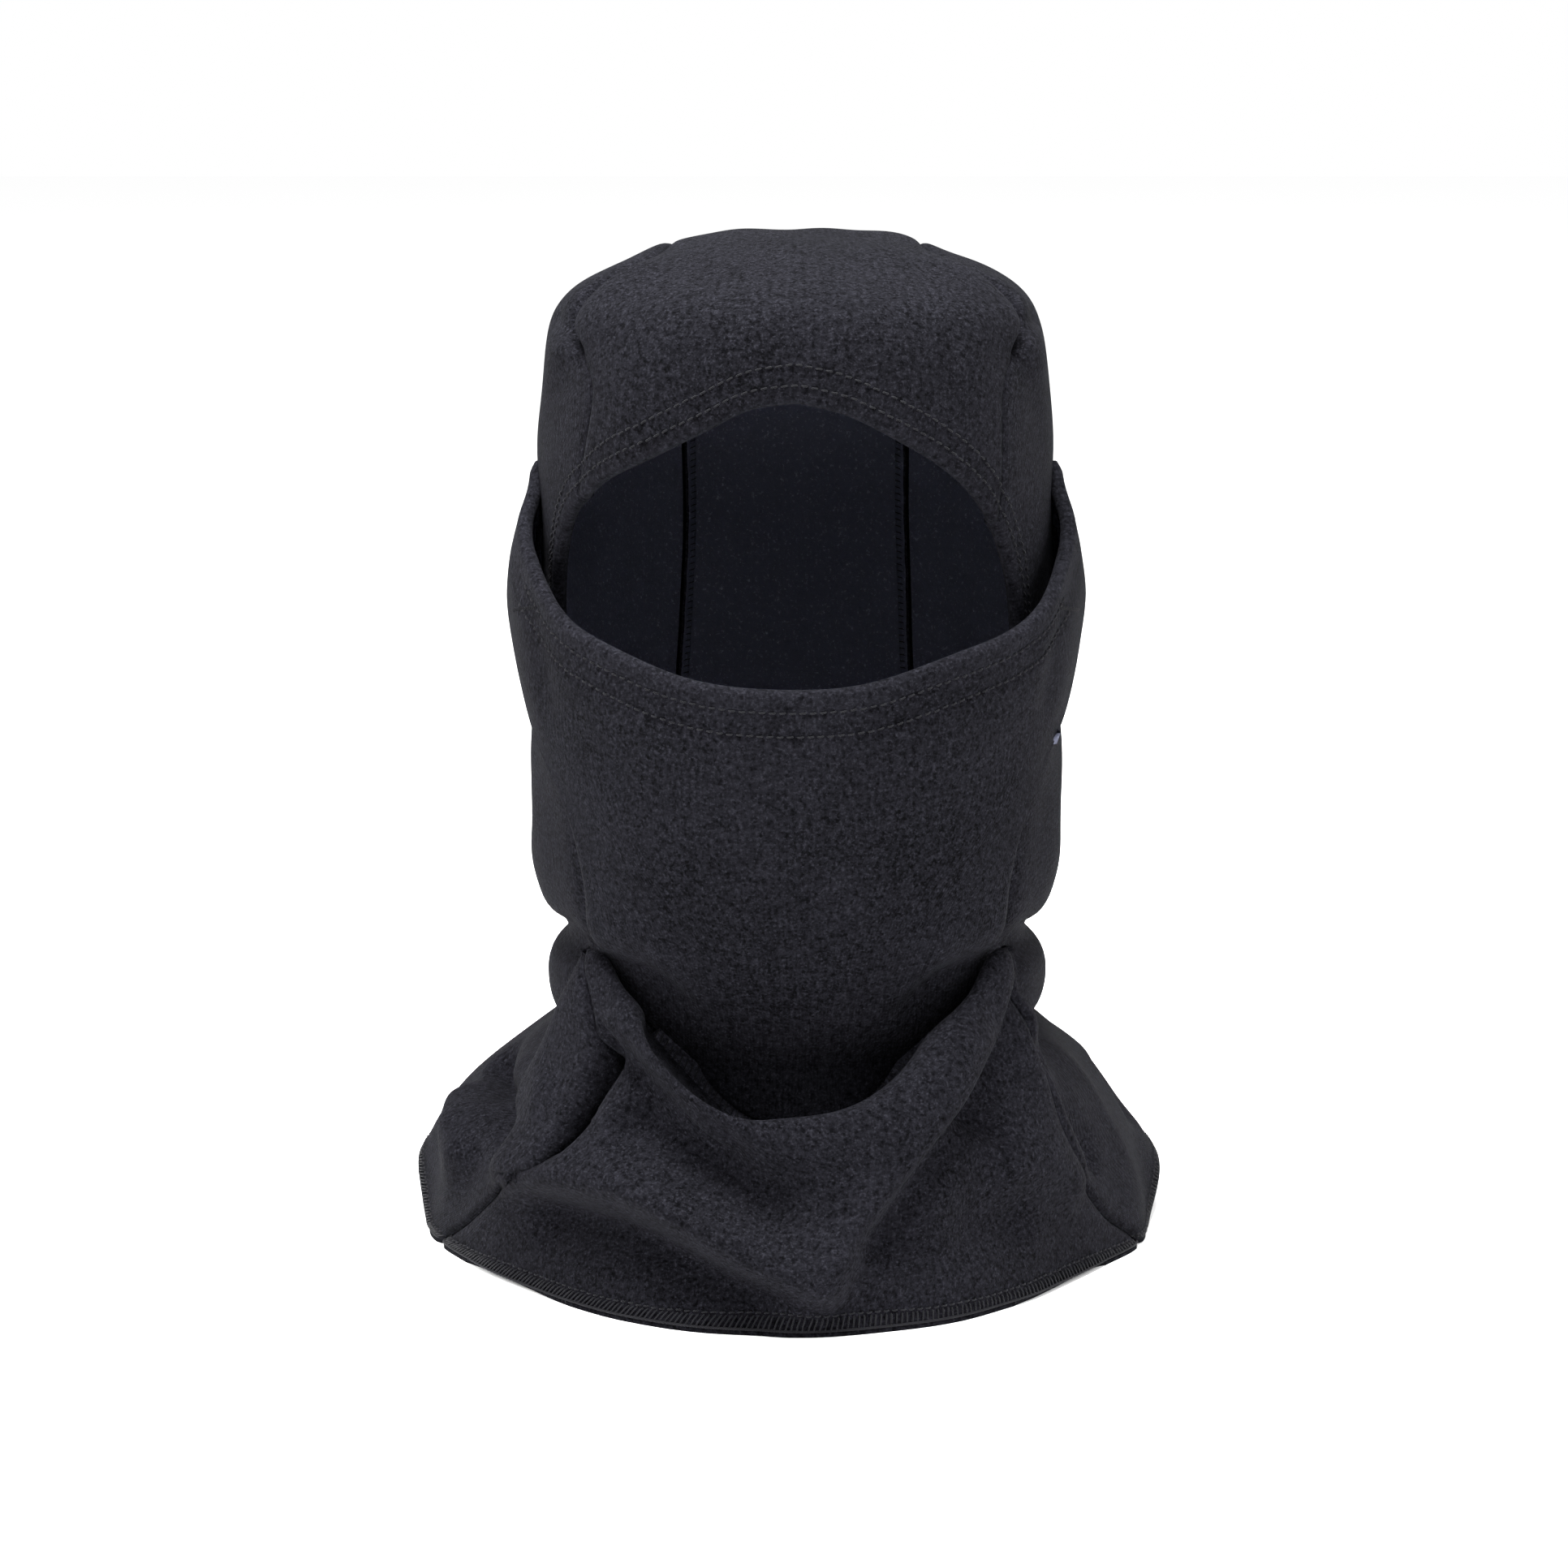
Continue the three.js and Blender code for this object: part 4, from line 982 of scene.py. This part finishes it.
# A row of lockstitches: each thread arches over the cloth and dives at both ends
def stitchRow(name, line, normals, look):
    fine, facing = stopsAlong(line, normals, look["pitch"] / 8)
    count = (len(fine) - 9) // 8
    rng = np.random.default_rng(look["seed"])
    arch = np.array([-0.55, 0.05, 0.34, 0.44, 0.34, 0.05, -0.55]) * look["lift"]
    pick = np.arange(count)[:, None] * 8 + np.arange(7)[None]
    runs = fine[pick] + facing[pick] * arch[None, :, None]
    across = unit(np.cross(facing[pick], fine[pick + 1] - fine[pick]))
    runs += (across * rng.normal(0, look["wander"], (count, 1, 1))
             + across * np.linspace(-1, 1, 7)[None, :, None] * 0.12)
    return tubes(name, runs, facing[pick], look["radius"], finishes[look["slot"]])


# Line on a panel's grid, a given way in from one of its edges
def gridLine(grid, axis, inset, fromEnd=False):
    p, n = grid
    if axis:
        p, n = turned(p, n)
    if fromEnd:
        p, n = flipRows(p, n)
    return insetLine(p, n, inset)


topstitch = {"pitch": 3.3, "lift": 1.0, "radius": 0.33, "wander": 0.09, "seed": 21,
             "slot": "topstitch_thread"}


# The brow's two rows run from one side panel over the crown panel to the other
def browRow(name, node, inset, reach=0.62):
    parts = []
    for side in ("right", "left"):
        line, facing = gridLine(sideGrids[side], 0, inset)
        walked = lengthsFrom(line, 0)
        keep = walked < reach * walked[-1]
        parts.append((line[keep], facing[keep]))
    crownLine, crownFacing = gridLine(crownGrid, 0, inset)
    line = np.concatenate([parts[0][0][::-1], crownLine, parts[1][0]])
    facing = np.concatenate([parts[0][1][::-1], crownFacing, parts[1][1]])
    settle(stitchRow(name, line, facing, topstitch), "topstitch_thread", node)


# Where a panel grid starts, past its folded edge
hemRows = 10
sideGrids = {side: (p[hemRows:], n[hemRows:]) for side, (p, n) in sideGrids.items()}
crownGrid = tuple(g[hemRows:] for g in crownGrid)
browRow("browStitchesInner", "brow_topstitch_inner", 6.2 - cloth["hemRoll"])
browRow("browStitchesOuter", "brow_topstitch_outer", 12.8 - cloth["hemRoll"])


def maskRow(name, node, drop):
    line, facing = gridLine(maskGrid, 0, drop - cloth["hemRoll"])
    across = np.linspace(-1, 1, len(line))
    keep = np.abs(across) < maskPanel["cheek"]
    piece = stitchRow(name, line[keep], facing[keep], topstitch)
    settle(piece, "topstitch_thread", node, body="maskFold")


maskRow("maskStitchesUpper", "mask_topstitch_upper", maskPanel["upperRow"])
maskRow("maskStitchesLower", "mask_topstitch_lower", maskPanel["lowerRow"])
print("topstitching made")


# Overlocked hem: slanted loops over the raw edge, a chain along it and a needle row inside
overlock = {"spacing": 1.9, "slant": 1.5, "width": 6.2, "radius": 0.3, "lift": 0.45,
            "leanBack": 1.9, "seed": 31}


def overlockHem(name, node, grid, seed):
    p, n = grid
    rng = np.random.default_rng(seed)
    edge, edgeFacing = p[0], n[0]
    top, topFacing = insetLine(p, n, overlock["width"])
    low, lowFacing = stopsAlong(edge, edgeFacing, overlock["spacing"])
    high, highFacing = stopsAlong(top, topFacing, overlock["spacing"] * lengthsFrom(top, 0)[-1]
                                  / lengthsFrom(edge, 0)[-1])
    count = min(len(low), len(high)) - 2
    low, lowFacing = low[:count], lowFacing[:count]
    jitter = rng.normal(0, 0.22, (count, 1))
    high, highFacing = high[1:count + 1], highFacing[1:count + 1]
    slant = unit(high - np.roll(high, 1, 0)) * (overlock["slant"] + jitter - overlock["leanBack"])
    high = high + slant
    t = np.linspace(0, 1, 7)[None, :, None]
    runs = low[:, None] * (1 - t) + high[:, None] * t
    facing = unit(lowFacing[:, None] * (1 - t) + highFacing[:, None] * t)
    runs = runs + facing * overlock["lift"] * (0.55 + 0.45 * np.sin(t * math.pi))
    runs[:, -1] -= facing[:, -1] * 0.9
    under = low - lowFacing * (cloth["thickness"] + overlock["lift"]) + [0, 0, 1.2]
    around = low - lowFacing * cloth["thickness"] / 2
    around[:, 2] = np.maximum(low[:, 2] - 0.2, 0.25)
    runs = np.concatenate([under[:, None], around[:, None], runs], 1)
    facing = np.concatenate([-lowFacing[:, None], lowFacing[:, None] * 0 + [0, 0, -1.0], facing], 1)
    loops = tubes(name + "Loops", runs, facing, overlock["radius"], finishes["overlock_thread"], 5)
    settle(loops, "overlock_thread", node)
    look = {"pitch": 3.0, "lift": 0.9, "radius": 0.3, "wander": 0.12, "seed": seed, "slot": "overlock_thread"}
    line, facing = insetLine(p, n, overlock["width"] + 0.5)
    settle(stitchRow(name + "Needle", line, facing, look), "overlock_thread")
    chain = edge + edgeFacing * 0.2
    chain[:, 2] = np.maximum(chain[:, 2] + 0.3, 0.5)
    settle(tubes(name + "Chain", chain[None], edgeFacing[None], 0.42, finishes["overlock_thread"], 6, False),
           "overlock_thread")


overlockHem("bibHemFront", "bib_hem_overlock_front", bibGrids["front"], 41)
overlockHem("bibHemBack", "bib_hem_overlock_back", bibGrids["back"], 43)
print("overlocking made")


# Hems turned in behind the stitches, and the tape inside the mask's hem
turnedHem = {"face": 14.0, "mask": 17.0, "thickness": 1.5, "gap": 0.25, "faceReach": 0.8,
             "tapeFrom": 7.5, "tapeTo": 14.0, "tapeThickness": 0.8}


def browLines(inset, reach):
    lines, facings = [], []
    for side in ("right", "left"):
        line, facing = gridLine(sideGrids[side], 0, inset)
        count = int(len(line) * reach)
        order = slice(count, None, -1) if side == "right" else slice(0, count)
        lines.append(line[order])
        facings.append(facing[order])
    line, facing = gridLine(crownGrid, 0, inset)
    return (np.concatenate([lines[0], line[1:-1], lines[1]]),
            np.concatenate([facings[0], facing[1:-1], facings[1]]))


def innerBand(name, node, lines, thickness, depth, slot, body="hood"):
    p, n = (np.array(part) for part in zip(*lines))
    return settle(clothPiece(name, p - n * depth, n, finishes[slot], thickness), slot, node, body=body)


insets = np.arange(0.4, turnedHem["face"], 1.5)
innerBand("faceHem", "face_hem", [browLines(inset, turnedHem["faceReach"]) for inset in insets],
          turnedHem["thickness"], cloth["thickness"] + turnedHem["gap"], "turned_hem")


def maskLines(insets):
    across = np.linspace(-1, 1, maskGrid[0].shape[1])
    keep = np.abs(across) < maskPanel["cheek"]
    lines = [gridLine(maskGrid, 0, inset) for inset in insets]
    return [(line[keep], facing[keep]) for line, facing in lines]


tapeDepth = cloth["thickness"] + turnedHem["gap"]
innerBand("maskElastic", "mask_elastic",
          maskLines(np.linspace(turnedHem["tapeFrom"], turnedHem["tapeTo"], 6) - cloth["hemRoll"]),
          turnedHem["tapeThickness"], tapeDepth, "elastic_tape", "maskFold")
innerBand("maskHem", "mask_hem", maskLines(np.arange(0.4, turnedHem["mask"] - cloth["hemRoll"], 1.6)),
          turnedHem["thickness"], tapeDepth + turnedHem["tapeThickness"] + turnedHem["gap"],
          "turned_hem", "maskFold")


# Overlocked seam allowance: a narrow strip folded flat inside a seam, with loops over its edge
allowance = {"width": 5.0, "thickness": 1.2, "gap": 0.4, "stop": 2.0, "ripple": 0.35, "rippleRate": 0.9,
             "loopSpacing": 2.4, "loopRadius": 0.26, "loopLift": 0.25}
# Points of one loop of thread: share of the strip's width, distance along the strip
allowanceLoop = [(0.25, 0.4), (0.6, 0.75), (1.0, 1.1), (1.12, 1.5), (1.0, 1.9), (0.5, 2.1), (0.25, 2.4)]


def seamAllowance(name, node, line, facing, side, gap, body="hood", centred=0.0,
                  thickness=allowance["thickness"]):
    line, facing = stopsAlong(line, facing, allowance["stop"])
    base = line - facing * (cloth["thickness"] + gap)
    across = unit(np.cross(facing, unit(np.gradient(line, axis=0)))) * side
    ripple = allowance["ripple"] * np.sin(np.arange(len(line)) * allowance["rippleRate"])[:, None]
    p = np.stack([base + across * (allowance["width"] + ripple) * share
                  for share in np.linspace(-centred, 1 - centred, 5)])
    n = np.repeat(facing[None], 5, 0)
    settle(clothPiece(name, p, n, finishes["turned_hem"], thickness), "overlock_thread", node, body=body)
    stops, stopFacing = stopsAlong(base, facing, allowance["loopSpacing"])
    stopAcross = stopsAlong(base, across, allowance["loopSpacing"])[1]
    run = unit(np.gradient(stops, axis=0))
    shares = [(a - centred, b) for a, b in allowanceLoop]
    # over the outer face, round the free edge and back under the inner face
    lower = [0.1, 0.15, 0.15, thickness / 2, thickness + 0.1, thickness + 0.15, thickness + 0.15]
    runs = np.stack([stops + stopAcross * allowance["width"] * a + run * b
                     + stopFacing * (allowance["loopLift"] - h) for (a, b), h in zip(shares, lower)], 1)
    loops = tubes(name + "Loops", runs, np.repeat(stopFacing[:, None], 7, 1), allowance["loopRadius"],
                  finishes["overlock_thread"], 5)
    settle(loops, "overlock_thread", body=body)


# Each pair of seams: the panel's columns and the span of its rows, on the right and on the left
pairedSeams = [
    {"name": "crownSeam", "node": "crown_seam", "grid": crownGrid, "columns": (0, -1),
     "spans": ((0.09, 0.97), (0.09, 0.97)), "gap": 0.5, "more": {"centred": 0.5}},
    {"name": "bibSideSeam", "node": "bib_side_seam", "grid": bibGrids["front"], "columns": (0, -1),
     "spans": ((0.05, 0.15), (0.05, 0.34)), "gap": 1.0, "more": {"centred": 0.5}},
    {"name": "maskSeam", "node": "mask_seam", "grid": maskGrid, "columns": (2, -3),
     "spans": ((0.13, 0.36), (0.13, 0.36)), "gap": 0.1, "more": {"body": "maskFold", "thickness": 2.0}},
]
for index, side in enumerate(("right", "left")):
    for seam in pairedSeams:
        p, n = seam["grid"]
        rows = slice(*(int(len(p) * share) for share in seam["spans"][index]))
        column = seam["columns"][index]
        seamAllowance(seam["name"] + side.capitalize(), f"{seam['node']}_{side}", p[rows, column],
                      n[rows, column], signs[side], seam["gap"], **seam["more"])

neckSeam = {"height": 86.0, "from": 64, "to": 296, "gap": 4.2}
turn = np.radians(np.linspace(neckSeam["from"], neckSeam["to"], 70))
neckHeight = np.full(len(turn), neckSeam["height"])
neckRing = aroundNeck(hoodRadius(turn, neckHeight), turn, neckHeight)
seamAllowance("neckSeam", "neck_seam", neckRing, hoodNormal(neckRing), 1, neckSeam["gap"])

# The chin seam runs from the mask's foot to the bib's neck edge
chinSeam = {"footInset": 4.0, "neckInset": 3.0, "from": 0.2, "to": 0.8, "rows": 8, "smoothing": 4}
# Points of one of its loops: distance across the seam, distance along it
chinLoop = [(-2.2, 0.0), (-1.1, 0.5), (0.0, 1.0), (1.1, 1.5), (2.2, 2.0)]


def chinStrip():
    below = cloth["thickness"] + allowance["gap"]
    foot, facing = gridLine(maskGrid, 0, chinSeam["footInset"], True)
    keep = slice(int(len(foot) * chinSeam["from"]), int(len(foot) * chinSeam["to"]))
    foot, facing = foot[keep] - facing[keep] * below, facing[keep]
    neck, neckFacing = gridLine(bibGrids["front"], 0, chinSeam["neckInset"], True)
    neck = neck - neckFacing * below
    nearest = np.linalg.norm(foot[:, None] - neck[None], axis=2).argmin(1)
    share = np.linspace(0, 1, chinSeam["rows"])[:, None, None]
    p = relax(foot[None] * (1 - share) + neck[nearest][None] * share, chinSeam["smoothing"])
    n = np.repeat(facing[None], chinSeam["rows"], 0)
    settle(clothPiece("chinSeam", p, n, finishes["turned_hem"], allowance["thickness"]),
           "overlock_thread", "chin_seam")
    line, up = stopsAlong(p[4], facing, allowance["loopSpacing"])
    run = unit(np.gradient(line, axis=0))
    across = unit(stopsAlong(p[4], p[6] - p[2], allowance["loopSpacing"])[1])
    runs = np.stack([line + across * a + run * b + up * allowance["loopLift"] for a, b in chinLoop], 1)
    settle(tubes("chinSeamLoops", runs, np.repeat(up[:, None], 5, 1), allowance["loopRadius"],
                 finishes["overlock_thread"], 5), "overlock_thread")


chinStrip()

# Bartacks: a short bar of close stitches across the edge of each wing
bartack = {"from": (89, -61, 234), "to": (96, -40, 230), "stitches": 22, "height": 1.6, "radius": 0.2}
for side, sign in signs.items():
    ends = np.array([bartack["from"], bartack["to"]], float) * [sign, 1, 1]
    flat, facing = (part.reshape(-1, 3) for part in maskGrid)
    along = np.linspace(ends[0], ends[1], bartack["stitches"])
    spot = [np.argmin(np.linalg.norm(flat - q, axis=1)) for q in along]
    up = facing[spot]
    centre = along + up * np.sum((flat[spot] - along) * up, -1, keepdims=True)
    rise = np.array([-1, -0.6, 0, 0.6, 1.0])[None, :, None] * [0, 0, bartack["height"] / 2]
    arch = np.array([-0.4, 0.25, 0.35, 0.25, -0.4])[None, :, None] * up[:, None]
    piece = tubes("bartack" + side.capitalize(), centre[:, None] + rise + arch, np.repeat(up[:, None], 5, 1),
                  bartack["radius"], finishes["topstitch_thread"], 5)
    settle(piece, "topstitch_thread", f"bartack_{side}", body="maskFold")
print("hems, seam allowances and bartacks made")


# Stage, lights and camera
studio = {"floorShade": 0.96, "elevation": 11.5, "distance": 1.529, "aim": 161.5,
          "sideways": -4.27, "lens": 100.0}
floorMesh = bpy.data.meshes.new("floor")
floorMesh.from_pydata([(-6, -6, 0), (6, -6, 0), (6, 6, 0), (-6, 6, 0)], [], [(0, 1, 2, 3)])
floor = bpy.data.objects.new("floor", floorMesh)
bpy.context.scene.collection.objects.link(floor)
floorFinish = Finish("paleFloor")
floorFinish.shader.inputs["Base Color"].default_value = (studio["floorShade"],) * 3 + (1,)
floorFinish.shader.inputs["Roughness"].default_value = 0.8
floorFinish.shader.inputs["Specular IOR Level"].default_value = 0.0
floorMesh.materials.append(floorFinish.material)

world = bpy.data.worlds.new("studio")
bpy.context.scene.world = world
world.use_nodes = True
world.node_tree.nodes["Background"].inputs[0].default_value = (1, 1, 1, 1)
world.node_tree.nodes["Background"].inputs[1].default_value = 1.0


def addLight(name, place, target, size, power):
    light = bpy.data.lights.new(name, "AREA")
    light.shape, light.size, light.size_y, light.energy = "RECTANGLE", size[0], size[1], power
    lamp = bpy.data.objects.new(name, light)
    bpy.context.scene.collection.objects.link(lamp)
    lamp.location = place
    aim = np.array(target) - np.array(place)
    lamp.rotation_euler = (math.acos(-aim[2] / np.linalg.norm(aim)), 0,
                           math.atan2(aim[1], aim[0]) - math.pi / 2)
    return lamp


addLight("leftSoftbox", (-1.2, -0.6, 0.95), (0, 0, 0.2), (0.6, 1.0), 26)
addLight("rightSoftbox", (1.2, -0.5, 0.85), (0, 0, 0.2), (0.6, 1.0), 14)
addLight("topSoftbox", (-0.1, -0.25, 1.5), (0, 0, 0.2), (0.7, 0.7), 96)
bpy.context.scene.view_settings.view_transform = "Standard"

camera = bpy.data.objects.new("camera", bpy.data.cameras.new("camera"))
bpy.context.scene.collection.objects.link(camera)
camera.data.lens = studio["lens"]
camera.data.sensor_width = 36
tilt = math.radians(studio["elevation"])
camera.location = (studio["sideways"] * metre, -studio["distance"] * math.cos(tilt),
                   studio["aim"] * metre + studio["distance"] * math.sin(tilt))
camera.rotation_euler = (math.pi / 2 - tilt, 0, 0)
bpy.context.scene.camera = camera
